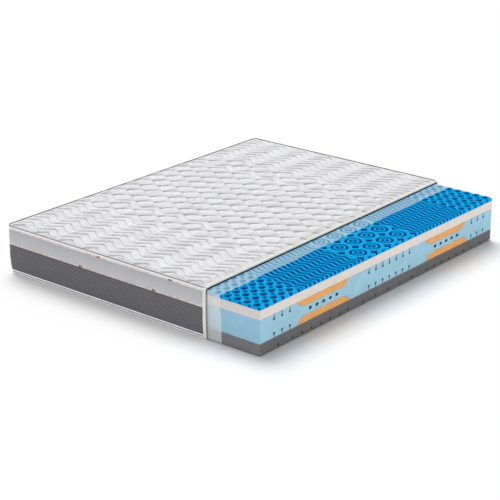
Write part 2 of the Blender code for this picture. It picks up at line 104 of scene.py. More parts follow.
def make_piece(name, verts, faces, material, body, nodes=(), fields=None, smooth=50):
    """A mesh piece that rides on a body, takes a finish and stands for CAD nodes.

    fields maps the name of a point attribute to its values: three numbers or one for each vertex;
    smooth is the angle in degrees from which an edge stays sharp.
    """
    mesh = bpy.data.meshes.new(name)
    mesh.from_pydata(np.asarray(verts, float).tolist(), [], faces)
    for key, values in (fields or {}).items():
        values = np.asarray(values, np.float32)
        kind, slot = ("FLOAT_VECTOR", "vector") if values.ndim == 2 else ("FLOAT", "value")
        mesh.attributes.new(key, kind, "POINT").data.foreach_set(slot, values.ravel())
    work = bmesh.new()
    work.from_mesh(mesh)
    bmesh.ops.remove_doubles(work, verts=work.verts, dist=SAME_PLACE)
    bmesh.ops.dissolve_degenerate(work, edges=work.edges, dist=NO_LENGTH)
    bmesh.ops.recalc_face_normals(work, faces=work.faces)
    work.to_mesh(mesh)
    work.free()
    mesh.shade_smooth()
    mesh.set_sharp_from_angle(angle=math.radians(smooth))
    piece = add_object(name, mesh)
    mesh.materials.append(material)
    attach(piece, body)
    if nodes:
        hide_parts(*nodes)
    return piece


def grid_quads(rows, columns, start=0):
    """Quads between neighbouring rows and columns of vertices stored row by row."""
    index = start + np.arange(rows * columns).reshape(rows, columns)
    a, b = index[:-1, :-1], index[:-1, 1:]
    c, d = index[1:, 1:], index[1:, :-1]
    return np.stack([a, b, c, d], -1).reshape(-1, 4).tolist()


def unit(vectors):
    """The same vectors, each of length one."""
    return vectors / np.maximum(np.linalg.norm(vectors, axis=-1, keepdims=True), 1e-9)


def run_length(points):
    """Distance along a path in a plane, from its first point to each of its points."""
    return np.concatenate([[0], np.cumsum(np.hypot(*np.diff(points, axis=0).T))])


def tube_quads(rings, count, closed=False):
    """Quads along a row of rings, each with count vertices; closed joins the last ring to the first."""
    index = np.arange(rings * count).reshape(rings, count)
    if closed:
        index = np.vstack([index, index[:1]])
    after = np.roll(index, -1, 1)
    return np.stack([index[:-1], after[:-1], after[1:], index[1:]], -1).reshape(-1, 4).tolist()


def ring_quads(first, second):
    """Quads between two closed rings of vertices."""
    return np.stack([first, np.roll(first, -1), np.roll(second, -1), second], -1).tolist()


def smoothstep(low, high, value):
    """0 below low and 1 above high, with a soft S between them."""
    part = np.clip((value - low) / (high - low), 0, 1)
    return part * part * (3 - 2 * part)


def ripple(x, y, seed, waves=7, longest=0.35, shortest=0.06):
    """Smooth, repeatable unevenness of about -1 to 1, made of a few crossed sine waves."""
    draw = np.random.default_rng(seed)
    total = np.zeros(np.broadcast(x, y).shape)
    for _ in range(waves):
        turn = draw.uniform(0, 2 * np.pi)
        length = np.exp(draw.uniform(np.log(shortest), np.log(longest)))
        phase = draw.uniform(0, 2 * np.pi)
        total = total + np.sin(2 * np.pi * (x * np.cos(turn) + y * np.sin(turn)) / length + phase)
    return total / math.sqrt(waves)


def aslant(x, y, start=None):
    """X of a place built square to the mouth; from start on the slant sets in bit by bit."""
    weight = 1.0 if start is None else np.clip((x - start) / (BINDING_START_X - start), 0, 1)
    return x - MOUTH_SLANT * y * weight


def envelope_inset(height):
    """How far the border's outer face lies inside the plan outline at a height."""
    return np.interp(height, [z for _, z in ENVELOPE], [inset for inset, _ in ENVELOPE])


# ---- the border's path

def border_path(step, end_x=CLOTH_END_X):
    """Stations along foot, left and head sides: place, inward normal and distance along the path."""
    centre_x = CORNER_RADIUS - HALF_WIDTH
    centre_y = HALF_LENGTH - CORNER_RADIUS
    across = max(2, round((end_x - centre_x) / step))
    along = max(2, round(2 * centre_y / step))
    turn = max(6, round(CORNER_RADIUS * math.pi / 2 / (step * 0.6)))
    foot_x, head_x = aslant(end_x, -HALF_LENGTH), aslant(end_x, HALF_LENGTH)

    def corner(first, side):
        angles = [math.radians(first - 90 * i / turn) for i in range(turn)]
        return [(centre_x + CORNER_RADIUS * math.cos(a), side * centre_y + CORNER_RADIUS * math.sin(a),
                 -math.cos(a), -math.sin(a)) for a in angles]

    foot = [(foot_x + (centre_x - foot_x) * i / across, -HALF_LENGTH, 0, 1) for i in range(across)]
    left = [(-HALF_WIDTH, -centre_y + 2 * centre_y * i / along, 1, 0) for i in range(along)]
    head = [(centre_x + (head_x - centre_x) * i / across, HALF_LENGTH, 0, -1) for i in range(across + 1)]
    table = np.array(foot + corner(270, -1) + left + corner(180, 1) + head)
    return table[:, :2], table[:, 2:], run_length(table[:, :2])


def strip_profile(front, rear, heights):
    """Closed profile up a strip's front and down its back."""
    return np.column_stack([np.append(front, rear[::-1]), np.append(heights, heights[::-1])])


def sweep(name, profile, step, material, node, shift=None, smooth=50, end_x=CLOTH_END_X):
    """Carries a closed profile of (inset, height) round the border.

    shift(distance, profile) gives what is added to each profile point at each station.
    """
    places, normals, distance = border_path(step, end_x)
    profile = np.asarray(profile, float)
    size = len(profile)
    rings = np.repeat(profile[None], len(distance), 0)
    if shift:
        rings = rings + shift(distance[:, None], profile[None])
    xy = places[:, None] + normals[:, None] * rings[..., :1]
    verts = np.concatenate([xy, rings[..., 1:]], -1).reshape(-1, 3)
    faces = [list(range(size)), list(range(len(verts) - size, len(verts)))]
    faces += tube_quads(len(distance), size)
    girth = run_length(np.vstack([profile, profile[:1]]))[:-1]
    around = np.tile(girth, len(distance))
    weave = np.column_stack([np.repeat(distance, size), around, np.zeros(len(verts))])
    return make_piece(name, verts, faces, material, "cover", (node,), {"weave": weave}, smooth)


# ---- material helpers

class Nodes:
    """Short ways to add and join the nodes of one material."""

    def __init__(self, name, roughness=0.9, **sockets):
        self.material = bpy.data.materials.new(name)
        self.material.use_nodes = True
        self.tree = self.material.node_tree
        self.shader = self.tree.nodes["Principled BSDF"]
        self.shader.inputs["Roughness"].default_value = roughness
        self.shader.inputs["Specular IOR Level"].default_value = 0.1
        for key, value in sockets.items():
            self.shader.inputs[key.replace("_", " ")].default_value = value

    def add(self, kind, inputs, **settings):
        """A new node; each of its inputs takes a plain value or another node's output."""
        node = self.tree.nodes.new("ShaderNode" + kind)
        for key, value in settings.items():
            setattr(node, key, value)
        for key, value in inputs.items():
            self.join(value, node.inputs[key])
        return node

    def join(self, value, socket):
        if isinstance(value, (int, float, tuple)):
            socket.default_value = value
        elif value is not None:
            self.tree.links.new(value, socket)

    def math(self, operation, *values):
        return self.add("Math", dict(enumerate(values)), operation=operation).outputs[0]

    def field(self, name, output="Vector"):
        return self.add("Attribute", {}, attribute_name=name).outputs[output]

    def place(self):
        return self.add("TexCoord", {}).outputs["Object"]

    def split(self, vector):
        return self.add("SeparateXYZ", {0: vector}).outputs

    def noise(self, vector, scale, detail=2.0, roughness=0.5):
        inputs = {"Scale": scale, "Detail": detail, "Roughness": roughness, "Vector": vector}
        return self.add("TexNoise", inputs).outputs["Fac"]

    def cells(self, vector, scale):
        return self.add("TexVoronoi", {"Scale": scale, "Vector": vector}).outputs["Distance"]

    def crossing(self, u, v, u_pitch, v_pitch):
        """Threads over and under: two crossed sine waves, from -1 to 1."""
        waves = [
            self.math("SINE", self.math("MULTIPLY", way, 2 * math.pi / pitch))
            for way, pitch in ((u, u_pitch), (v, v_pitch))
        ]
        return self.math("MULTIPLY", *waves)

    def ramp(self, factor, *stops):
        """Colour that changes with factor; each stop is (position, colour)."""
        node = self.add("ValToRGB", {"Fac": factor})
        elements = node.color_ramp.elements
        while len(elements) < len(stops):
            elements.new(0.5)
        for element, (position, colour) in zip(elements, stops):
            element.position = position
            element.color = colour
        return node.outputs["Color"]

    def range(self, value, low, high, to_low=0.0, to_high=1.0):
        return self.add("MapRange", {0: value, 1: low, 2: high, 3: to_low, 4: to_high}).outputs[0]

    def mix(self, factor, a, b):
        return self.add("Mix", {0: factor, 6: a, 7: b}, data_type="RGBA").outputs[2]

    def bump(self, height, distance, strength=1.0, normal=None):
        inputs = {"Strength": strength, "Distance": distance, "Height": height, "Normal": normal}
        return self.add("Bump", inputs).outputs["Normal"]

    def finish(self, colour, normal):
        """Gives the shader its colour and surface and hands over the material."""
        self.join(colour, self.shader.inputs["Base Color"])
        self.join(normal, self.shader.inputs["Normal"])
        return self.material


# Depth of the foams' grain, and the share of their colour left on the walls of slits and holes, where shade
# is painted
FOAM_GRAIN = 0.0006
SLIT_SHADE = 0.26


def shade(colour, factor):
    """The same colour, lighter or darker."""
    return tuple(min(1.0, c * factor) for c in colour[:3]) + (1.0,)


def grained_material(name, roughness, noise, dark, light, relief, **sockets):
    """Plain stuff with a fine grain: noise is scale, detail and roughness, relief depth and strength."""
    n = Nodes(name, roughness, **sockets)
    grain = n.noise(n.place(), *noise)
    return n.finish(n.ramp(grain, (0.3, dark), (0.7, light)), n.bump(grain, *relief))


def foam_material(name, colour, pore, contrast):
    """Open-cell foam: soft mottling, small pores in colour and relief, painted shade on the walls of slits
    and holes.
    """
    n = Nodes(name, 0.95)
    place = n.place()
    mottle = n.range(n.noise(place, 14.0, 4.0, 0.6), 0.3, 0.7)
    fine = n.noise(place, 260.0, 3.0, 0.7)
    base = n.ramp(mottle, (0.0, shade(colour, 1 - contrast / 2)), (1.0, shade(colour, 1 + contrast / 2)))
    open_pore = n.range(n.cells(place, pore), 0.0, 0.55)
    dark = n.mix(n.range(open_pore, 0.0, 1.0, contrast * 2.2, 0.0), base, shade(colour, 0.55))
    skin = n.mix(n.range(fine, 0.35, 0.65, 0.0, contrast), dark, shade(colour, 1.15))
    # Painted shade: the walls of slits and holes take a darker copy of the foam's colour
    wall = n.math("MULTIPLY", n.field("hollow", "Fac"), 0.9)
    surface = n.bump(fine, FOAM_GRAIN * 1.5, 0.35, n.bump(open_pore, FOAM_GRAIN, 0.5))
    return n.finish(n.mix(wall, skin, shade(colour, SLIT_SHADE)), surface)


def woven_material(name, colour, pitch=0.0011, contrast=0.18, depth=0.0002, tuck=None):
    """Plain woven cloth: threads over and under along the piece's own directions; tuck is a colour of
    painted shadow, laid on as the tuck attribute says.
    """
    n = Nodes(name, 0.9, Sheen_Weight=0.15, Sheen_Roughness=0.5)
    u, v, _ = n.split(n.field("weave"))
    height = n.range(n.crossing(u, v, pitch, pitch), -1.0, 1.0)
    uneven = n.noise(n.place(), 90.0, 3.0, 0.6)
    tone = n.math("ADD", n.math("MULTIPLY", height, 0.6), n.math("MULTIPLY", uneven, 0.4))
    cloth = n.ramp(tone, (0.15, shade(colour, 1 - contrast)), (0.85, shade(colour, 1 + contrast * 0.4)))
    # Painted shadow: the tuck colour goes where the piece's tuck attribute is set
    if tuck:
        cloth = n.mix(n.field("tuck", "Fac"), cloth, tuck)
    return n.finish(cloth, n.bump(height, depth, 0.6))


def mesh_material(name, thread, hole, pitch, depth, height, fade):
    """Spacer mesh knit: rows of small rounded holes over a darker ground, with painted shade that darkens
    it towards the top by up to fade.
    """
    n = Nodes(name, 0.85, Sheen_Weight=0.1)
    u, v, _ = n.split(n.field("weave"))
    turns = 2 * math.pi / pitch
    total = None
    for degrees in (90, 150, 210):
        angle = math.radians(degrees)
        along = n.math("ADD", n.math("MULTIPLY", u, turns * math.cos(angle)),
                       n.math("MULTIPLY", v, turns * math.sin(angle)))
        wave = n.math("COSINE", along)
        total = wave if total is None else n.math("ADD", total, wave)
    yarn = n.noise(n.place(), 700.0, 2.0, 0.6)
    opening = n.range(total, 0.2, 1.9)
    cloth = n.ramp(n.range(yarn, 0.3, 0.7), (0.0, shade(thread, 0.85)), (1.0, shade(thread, 1.12)))
    # Painted shade: towards its top edge the mesh goes up to fade of the way to a dark copy of the thread
    top_shaded = n.mix(n.range(v, 0.0, height, 0.0, fade), n.mix(opening, cloth, hole), shade(thread, 0.4))
    relief = n.math("SUBTRACT", n.math("MULTIPLY", yarn, 0.25), opening)
    return n.finish(top_shaded, n.bump(relief, depth, 0.7))


# ---- slabs that follow the plan outline

def plan_edge(x, inset):
    """Half length of the plan outline at x, with its two round corners on the -X side."""
    radius = CORNER_RADIUS - inset
    into = np.clip(radius - (x + HALF_WIDTH - inset), 0, radius)
    return HALF_LENGTH - inset - radius + np.sqrt(np.maximum(radius ** 2 - into ** 2, 0))


def inside_distance(x, y, inset):
    """Distance in from the outline's three covered sides."""
    radius = CORNER_RADIUS - inset
    from_left = x + HALF_WIDTH - inset
    from_side = HALF_LENGTH - inset - np.abs(y)
    near_x = np.maximum(radius - from_left, 0)
    near_y = np.maximum(radius - from_side, 0)
    corner = radius - np.hypot(near_x, near_y)
    return np.where((near_x > 0) & (near_y > 0), corner, np.minimum(from_left, from_side))


def bend_places(left, inset, count):
    """X places round the outline's corner, closest where it is steepest."""
    return left + (CORNER_RADIUS - inset) * (1 - np.cos(np.linspace(0, math.pi / 2, count)))


def columns(low, high, step, inset, tight=()):
    """Column places from low to high, closer in the round corner, with any tight places between."""
    bend = bend_places(low, inset, 7)
    rest = np.linspace(bend[-1], high, max(2, round((high - bend[-1]) / step)) + 1)
    extra = [place for place in tight if low < place < high]
    return np.unique(np.round(np.concatenate([bend, rest, extra]), 6))


def rim_of(rows, count, start=0):
    """The vertices round a grid's rim, in order: foot row, far column, head row, left column."""
    index = start + np.arange(rows * count).reshape(rows, count)
    return np.concatenate([index[0], index[1:, -1], index[-1, -2::-1], index[-2:0:-1, 0]])


def close_below(verts, faces, rim, levels):
    """Walls from a rim straight down through levels of (height, push outwards), then a flat floor."""
    verts = [np.asarray(verts, float)]
    ring = verts[0][rim]
    way = (np.roll(ring, -1, 0) - np.roll(ring, 1, 0))[:, :2]
    outward = unit(np.stack([way[:, 1], -way[:, 0]], -1))
    previous = np.asarray(rim)
    start = len(verts[0])
    for height, push in levels:
        lower = ring.copy()
        lower[:, :2] += outward * push
        lower[:, 2] = height
        verts.append(lower)
        index = start + np.arange(len(rim))
        faces += ring_quads(previous, index)
        previous = index
        start += len(rim)
    faces.append(previous.tolist())
    return np.vstack(verts), faces


# ---- quilted top

QUILT_INSET = HALF_LENGTH - QUILT_HIGH.y
WAVE_PERIOD = 0.164
WAVE_HALF = 0.0235
WAVE_PEAK_X = -0.708
WAVE_SHARPNESS = 0.93
LINE_PITCH = 0.05
FIRST_LINE_Y = -0.925
LINE_COUNT = 38
MIRRORED_LINES = (10, 13, 15, 17, 19, 21, 23, 25, 28)
VALLEY_DEPTH = 0.0062
CROWN = 0.0015
PUFF = 0.0100
# The gathers beside the thread (height, spacing and reach) and the crinkles on the puffs
PUCKER = 0.0006
PUCKER_PITCH = 0.0123
PUCKER_REACH = 0.007
CRINKLE = 0.0006
STITCH_PITCH = 0.0048
STITCH_LENGTH = 0.0038
THREAD_RADIUS = 0.00045
SLANT_FROM_X = 0.2
RIM_DROP = 0.0034
RIM_ROLL = 0.022
PUFF_FULLNESS = 0.30
# Parts of a band, from one stitch line to the next, that carry rows of vertices
FINE_STEPS = np.array([0, 0.035, 0.09, 0.17, 0.28, 0.42, 0.58, 0.72, 0.83, 0.91, 0.965])
COARSE_STEPS = np.array([0, 0.12, 0.30, 0.50, 0.70, 0.88])
# The quilt's cloth is cut an eighth too large and pressed out; CLOTH_CAP is the most it may move
CLOTH_SETTINGS = {
    "vertex_group_mass": "held", "quality": 4, "mass": 0.25, "tension_stiffness": 12,
    "compression_stiffness": 12, "shear_stiffness": 6, "bending_stiffness": 0.15,
    "shrink_min": -0.12, "use_pressure": True, "uniform_pressure_force": 4.0,
}
CLOTH_FRAMES = 20
CLOTH_CAP = 0.0036


def stitch_line(k, x):
    """Y of the quilting line k at x: rounded zigzags, some of them mirrored into diamonds."""
    if k < 0 or k >= LINE_COUNT:
        return np.full(np.shape(x), math.copysign(HALF_LENGTH - QUILT_INSET, k))
    phase = np.cos(2 * np.pi * (x - WAVE_PEAK_X) / WAVE_PERIOD)
    zigzag = np.arcsin(WAVE_SHARPNESS * phase) / math.asin(WAVE_SHARPNESS)
    side = -1 if k in MIRRORED_LINES else 1
    return FIRST_LINE_Y + LINE_PITCH * k + side * WAVE_HALF * zigzag


def quilt_ground(x, y):
    """Height of the sewn-down cloth along the stitch lines."""
    inward = inside_distance(x, y, QUILT_INSET)
    crown = CROWN * (1 - (y / HALF_LENGTH) ** 4)
    rim = QUILT_HIGH.z - RIM_DROP
    middle = QUILT_HIGH.z - VALLEY_DEPTH + crown
    height = rim + (middle - rim) * smoothstep(0, RIM_ROLL, inward)
    return height + 0.0004 * ripple(x, y, 11)


def near_mouth(x, y):
    """0 on the open cloth, 1 where the binding presses it flat."""
    return smoothstep(TOP_LEG_X - 0.003, TOP_LEG_X + 0.0005, x + MOUTH_SLANT * y)


def quilt_rows(columns_x, steps):
    """X, Y, puff and pucker of each row of vertices; steps divide the band between two lines."""
    reach = HALF_LENGTH - QUILT_INSET
    rows = []
    for k in range(-1, LINE_COUNT):
        for part in (steps if k < LINE_COUNT - 1 else np.append(steps, 1.0)):
            middle = np.clip(FIRST_LINE_Y + LINE_PITCH * (k + part), -reach, reach)
            x = aslant(columns_x, middle, SLANT_FROM_X)
            limit = plan_edge(x, QUILT_INSET)
            low = np.clip(stitch_line(k, x), -limit, limit)
            width = np.maximum(np.clip(stitch_line(k + 1, x), -limit, limit) - low, 0)
            puff = (4 * part * (1 - part)) ** PUFF_FULLNESS * np.minimum(width / LINE_PITCH, 1.35) ** 0.6
            away = min(part, 1 - part) * width
            pucker = np.exp(-away / PUCKER_REACH) * (1 - np.exp(-away / 0.0018))
            pucker = pucker * np.sin(2 * np.pi * (x / PUCKER_PITCH + 0.37 * k))
            rows.append((x, low + width * part, puff, pucker))
    return np.stack(rows, 1)


def quilt_height(x, y, puff, pucker):
    """Height of the top: the sewn-down ground, the puffs over it and the gathers beside the thread."""
    inward = inside_distance(x, y, QUILT_INSET)
    fade = smoothstep(-0.002, 0.024, inward) * (1 - near_mouth(x, y))
    fullness = 1 + 0.12 * ripple(x, y, 5, longest=0.5, shortest=0.09)
    pressed = smoothstep(TOP_LEG_X - 0.045, TOP_LEG_X - 0.004, x + MOUTH_SLANT * y)
    fullness = fullness * (1 - 0.52 * pressed)
    crinkle = ripple(x, y, 12, waves=14, longest=0.045, shortest=0.015)
    rise = PUFF * fullness * puff + PUCKER * pucker + CRINKLE * puff * crinkle
    z = quilt_ground(x, y) + fade * rise
    return z + near_mouth(x, y) * (QUILT_HIGH.z - 0.0004 - z)


def simulated_swell(x, y, z, pinned):
    """How far a grid of cloth moves when it is cut large, held where pinned and blown up from below."""
    before = np.stack([x, y, z], -1)
    mesh = bpy.data.meshes.new("quilt_cloth")
    mesh.from_pydata(before.reshape(-1, 3).tolist(), [], grid_quads(*x.shape))
    cloth = add_object("quilt_cloth", mesh)
    cloth.vertex_groups.new(name="held").add(np.flatnonzero(pinned).tolist(), 1.0, "REPLACE")
    modifier = cloth.modifiers.new("cloth", "CLOTH")
    for key, value in CLOTH_SETTINGS.items():
        setattr(modifier.settings, key, value)
    modifier.settings.effector_weights.gravity = 0
    modifier.collision_settings.use_collision = False
    modifier.point_cache.frame_start = 1
    modifier.point_cache.frame_end = CLOTH_FRAMES
    for number in range(1, CLOTH_FRAMES + 1):
        bpy.context.scene.frame_set(number)
    moved = cloth.evaluated_get(bpy.context.evaluated_depsgraph_get()).to_mesh()
    after = np.empty(x.size * 3, np.float32)
    moved.vertices.foreach_get("co", after)
    bpy.data.objects.remove(cloth)
    bpy.context.scene.frame_set(1)
    change = after.reshape(*x.shape, 3) - before
    reach = np.linalg.norm(change, axis=-1, keepdims=True)
    return change * np.minimum(1, CLOTH_CAP / np.maximum(reach, 1e-9))


def resample(values, places):
    """Smooth cubic reading of rows of values at fractional row numbers."""
    base = np.clip(np.floor(places).astype(int), 0, len(values) - 2)
    part = (places - base).reshape(-1, *[1] * (values.ndim - 1))
    a, b, c, d = (values[np.clip(base + shift, 0, len(values) - 1)] for shift in (-1, 0, 1, 2))
    curve = (2 * a - 5 * b + 4 * c - d) * part ** 2 + (3 * b - a - 3 * c + d) * part ** 3
    return b + ((c - a) * part + curve) / 2


def build_quilt():
    """Padded top: its puffs swell and crease as cloth held along the stitching does."""
    edge_x = (QUILT_LOW.x + 0.001, QUILT_LOW.x + 0.0025, BINDING_START_X)
    fine_x = columns(QUILT_LOW.x, CLOTH_END_X, WAVE_PERIOD / 32, QUILT_INSET, edge_x)
    x, y, puff, pucker = quilt_rows(fine_x, FINE_STEPS)
    z = quilt_height(x, y, puff, pucker)
    coarse_x = columns(QUILT_LOW.x, CLOTH_END_X, WAVE_PERIOD / 18, QUILT_INSET, edge_x[2:])
    rows = quilt_rows(coarse_x, COARSE_STEPS)
    held = (rows[2] < 0.02) | (near_mouth(rows[0], rows[1]) > 0.3)
    held |= inside_distance(rows[0], rows[1], QUILT_INSET) < 0.004
    change = simulated_swell(rows[0], rows[1], quilt_height(*rows), held.ravel())
    bands = LINE_COUNT + 1
    coarse = len(COARSE_STEPS)
    within = np.interp(FINE_STEPS, np.append(COARSE_STEPS, 1.0), np.arange(coarse + 1))
    numbers = np.arange(bands)[:, None] * coarse + within
    change = resample(change, np.append(numbers.ravel(), bands * coarse))
    numbers = np.interp(fine_x, coarse_x, np.arange(len(coarse_x)))
    change = resample(change.transpose(1, 0, 2), numbers).transpose(1, 0, 2)
    x, y, z = x + change[..., 0], y + change[..., 1], z + change[..., 2]
    verts, faces = close_below(np.stack([x, y, z], -1).reshape(-1, 3), grid_quads(*y.shape),
                               rim_of(*y.shape), [(QUILT_LOW.z, 0.0)])
    # The puff height also sets where the knit's painted shade falls beside the stitching
    relief = np.concatenate([puff.ravel(), np.zeros(len(verts) - y.size)])
    piece = make_piece("quilted_top", verts, faces, quilt_knit(), "cover",
                       ("quilted_top_panel",), {"relief": relief}, 60)
    build_stitches()


def thread_stitches(name, ends, normals):
    """Short raised stitches, each a slim spindle from ends[i][0] to ends[i][1]."""
    way = ends[:, 1] - ends[:, 0]
    side = unit(np.cross(way, normals))
    rings = [ends[:, 0]]
    for part in (0.22, 0.78):
        middle = ends[:, 0] + way * part
        for a, b in ((1, 0), (0, 1), (-1, 0), (0, -1)):
            rings.append(middle + THREAD_RADIUS * (a * side + b * normals))
    rings.append(ends[:, 1])
    verts = np.stack(rings, 1).reshape(-1, 3)
    pattern = [(0, i + 1, (i + 1) % 4 + 1) for i in range(4)]
    pattern += [(i + 1, i + 5, (i + 1) % 4 + 5, (i + 1) % 4 + 1) for i in range(4)]
    pattern += [(9, (i + 1) % 4 + 5, i + 5) for i in range(4)]
    faces = [tuple(10 * k + i for i in face) for k in range(len(ends)) for face in pattern]
    thread = grained_material("thread", 0.6, (1200.0, 2.0, 0.5), srgb(218, 218, 221), srgb(240, 240, 242),
                              (0.0002, 0.5), Sheen_Weight=0.2)
    make_piece(name, verts, faces, thread, "cover", smooth=70)


def build_stitches():
    """The quilting thread along every line."""
    ends = []
    for k in range(LINE_COUNT):
        last_x = aslant(BINDING_START_X - 0.001, FIRST_LINE_Y + LINE_PITCH * k)
        x = np.arange(QUILT_LOW.x + 0.004, last_x, 0.0006)
        y = stitch_line(k, x)
        path = np.stack([x, y, quilt_height(x, y, 0, 0) + 0.00015], -1)
        length = np.concatenate([[0], np.cumsum(np.linalg.norm(np.diff(path, axis=0), axis=1))])
        starts = np.arange(0, length[-1] - STITCH_LENGTH, STITCH_PITCH)
        first, last = (
            np.stack([np.interp(places, length, path[:, i]) for i in range(3)], -1)
            for places in (starts, starts + STITCH_LENGTH)
        )
        keep = inside_distance((first[:, 0] + last[:, 0]) / 2, first[:, 1], QUILT_INSET) > 0.0035
        ends.append(np.stack([first[keep], last[keep]], 1))
    ends = np.concatenate(ends)
    up = np.tile([0.0, 0.0, 1.0], (len(ends), 1))
    thread_stitches("quilting_thread", ends, up)


def quilt_knit():
    """White knit with fine ribs and a faint heather, with painted shade greying the low, flat cloth beside
    the stitching.
    """
    n = Nodes("quilt_knit", 0.88, Sheen_Weight=0.25, Sheen_Roughness=0.4)
    place = n.place()
    x, y, _ = n.split(place)
    loops = n.crossing(x, y, 0.0016, 0.0022)
    heather = n.noise(place, 320.0, 3.0, 0.7)
    cloud = n.noise(place, 9.0, 3.0, 0.5)
    tone = n.math("ADD", n.math("MULTIPLY", heather, 0.5), n.math("MULTIPLY", cloud, 0.5))
    cloth = n.ramp(tone, (0.35, srgb(221, 221, 224)), (0.65, srgb(238, 238, 240)))
    # Painted shade: the lower the puff, the more the cloth is greyed towards a shade colour
    near = n.range(n.field("relief", "Fac"), 0.0, 0.50, 0.52, 0.0)
    knit = n.bump(n.range(loops, -1.0, 1.0), 0.00035, 0.5)
    return n.finish(n.mix(near, cloth, srgb(132, 132, 138)), n.bump(heather, 0.0004, 0.3, knit))


# ---- blue profiled foam

DIMPLE_PITCH = 0.055
DIMPLE_X = 0.7675
DIMPLE_Y = 0.6925
DIMPLE_DEPTH = 0.0135
RIDGE_PITCH = 0.0303
RIDGE_PERIOD = 0.0755
RIDGE_PEAK_X = 0.568
RIDGE_SWING = 0.0068
RIDGE_DEPTH = 0.0100
RING_DEPTH = 0.0110
RING_PITCH = 0.1075
RING_X = 0.732
RING_Y = -0.136
# Pits and grooves as (half size, width of the sloping wall), and the two rings' radii
LARGE_PIT = (0.0212, 0.0140)
SMALL_PIT = (0.0165, 0.0120)
STAR_PIT = (0.0310, 0.0150)
INNER_RING, INNER_GROOVE = 0.0140, (0.0080, 0.0062)
OUTER_RING, OUTER_GROOVE = 0.0370, (0.0082, 0.0060)
FOOT_WAVES = (-0.650, -0.205)
HEAD_WAVES = (0.250, 0.662)
DIMPLES_FROM_Y = 0.655
# Half the soft step from one kind of relief to the next, and the size of the mesh where the foam is bare
ZONE_SOFT = 0.004
FOAM_CELL = 0.0031


def ridge_shift(x):
    """How far the foam's ridges swing towards the head at x."""
    phase = np.cos(2 * np.pi * (x - RIDGE_PEAK_X) / RIDGE_PERIOD)
    return RIDGE_SWING * np.arcsin(0.96 * phase) / math.asin(0.96)


def pit(distance, size, wall):
    """1 in the middle of a pit, falling to 0 across its wall."""
    return 1 - smoothstep(size - wall, size, distance)


def nearest(value, first, pitch):
    """Signed distance to the nearest of the places first, first + pitch and so on."""
    return value - first - pitch * np.round((value - first) / pitch)


def dimple_relief(x, y):
    """0 on the ridges to 1 in the pits: large pits on a square grid, small ones between them."""
    far = np.abs(y)
    half = DIMPLE_PITCH / 2
    wide = np.hypot(nearest(x, DIMPLE_X, DIMPLE_PITCH) / 0.95,
                    nearest(far, DIMPLE_Y, DIMPLE_PITCH) / 1.12)
    small = np.hypot(nearest(x, DIMPLE_X + half, DIMPLE_PITCH),
                     nearest(far, DIMPLE_Y + half, DIMPLE_PITCH) / 0.9)
    return np.maximum(pit(wide, *LARGE_PIT), 0.85 * pit(small, *SMALL_PIT))


def wave_relief(x, y, anchor):
    """0 on the wavy ridges to 1 in the grooves between them, one of which is at anchor."""
    turn = 2 * np.pi * (y - anchor - ridge_shift(x)) / RIDGE_PITCH
    return (0.5 + 0.5 * np.cos(turn)) ** 1.7


def ring_relief(x, y):
    """Two round grooves about each centre, and a hollow-sided pit between four of them."""
    away = np.hypot(nearest(x, RING_X, RING_PITCH), nearest(y, RING_Y, RING_PITCH))
    groove = np.maximum(pit(np.abs(away - INNER_RING), *INNER_GROOVE),
                        pit(np.abs(away - OUTER_RING), *OUTER_GROOVE))
    half = RING_PITCH / 2
    ex = np.abs(nearest(x, RING_X + half, RING_PITCH))
    ey = np.abs(nearest(y, RING_Y + half, RING_PITCH))
    star = (ex ** 0.75 + ey ** 0.75) ** (1 / 0.75)
    return np.maximum(groove, pit(star, *STAR_PIT))


def zone(place, low, high, shift=0.0):
    """1 between low and high, with soft ends that shift moves inwards."""
    rise = smoothstep(low - ZONE_SOFT + shift, low + ZONE_SOFT + shift, place)
    return rise * (1 - smoothstep(high - ZONE_SOFT - shift, high + ZONE_SOFT - shift, place))


def foam_relief(x, y):
    """The whole profile, 0 on top to 1 at the bottom of the pits."""
    swing = ridge_shift(x)
    total = dimple_relief(x, y)
    for (low, high), anchor in ((FOOT_WAVES, FOOT_WAVES[0]), (HEAD_WAVES, HEAD_WAVES[1])):
        inside = zone(y, low + swing, high + swing)
        total = total * (1 - inside) + wave_relief(x, y, anchor) * inside
    middle = zone(y, FOOT_WAVES[1] + swing, HEAD_WAVES[0] + swing, 0.002)
    return total * (1 - middle) + ring_relief(x, y) * middle


def foam_surface(x, y):
    """Points of the profiled top over columns x and rows y, and the relief at each."""
    x, y = np.meshgrid(x, y)
    limit = plan_edge(x, FOAM_FACE)
    y = np.clip(y, -limit, limit)
    relief = foam_relief(x, y)
    depth = np.where(np.abs(y) > DIMPLES_FROM_Y, DIMPLE_DEPTH, RIDGE_DEPTH)
    depth = np.where((y > FOOT_WAVES[1]) & (y < HEAD_WAVES[0]), RING_DEPTH, depth)
    return np.stack([x, y, FOAM_HIGH.z - depth * relief + 0.0002 * ripple(x, y, 3)], -1), relief


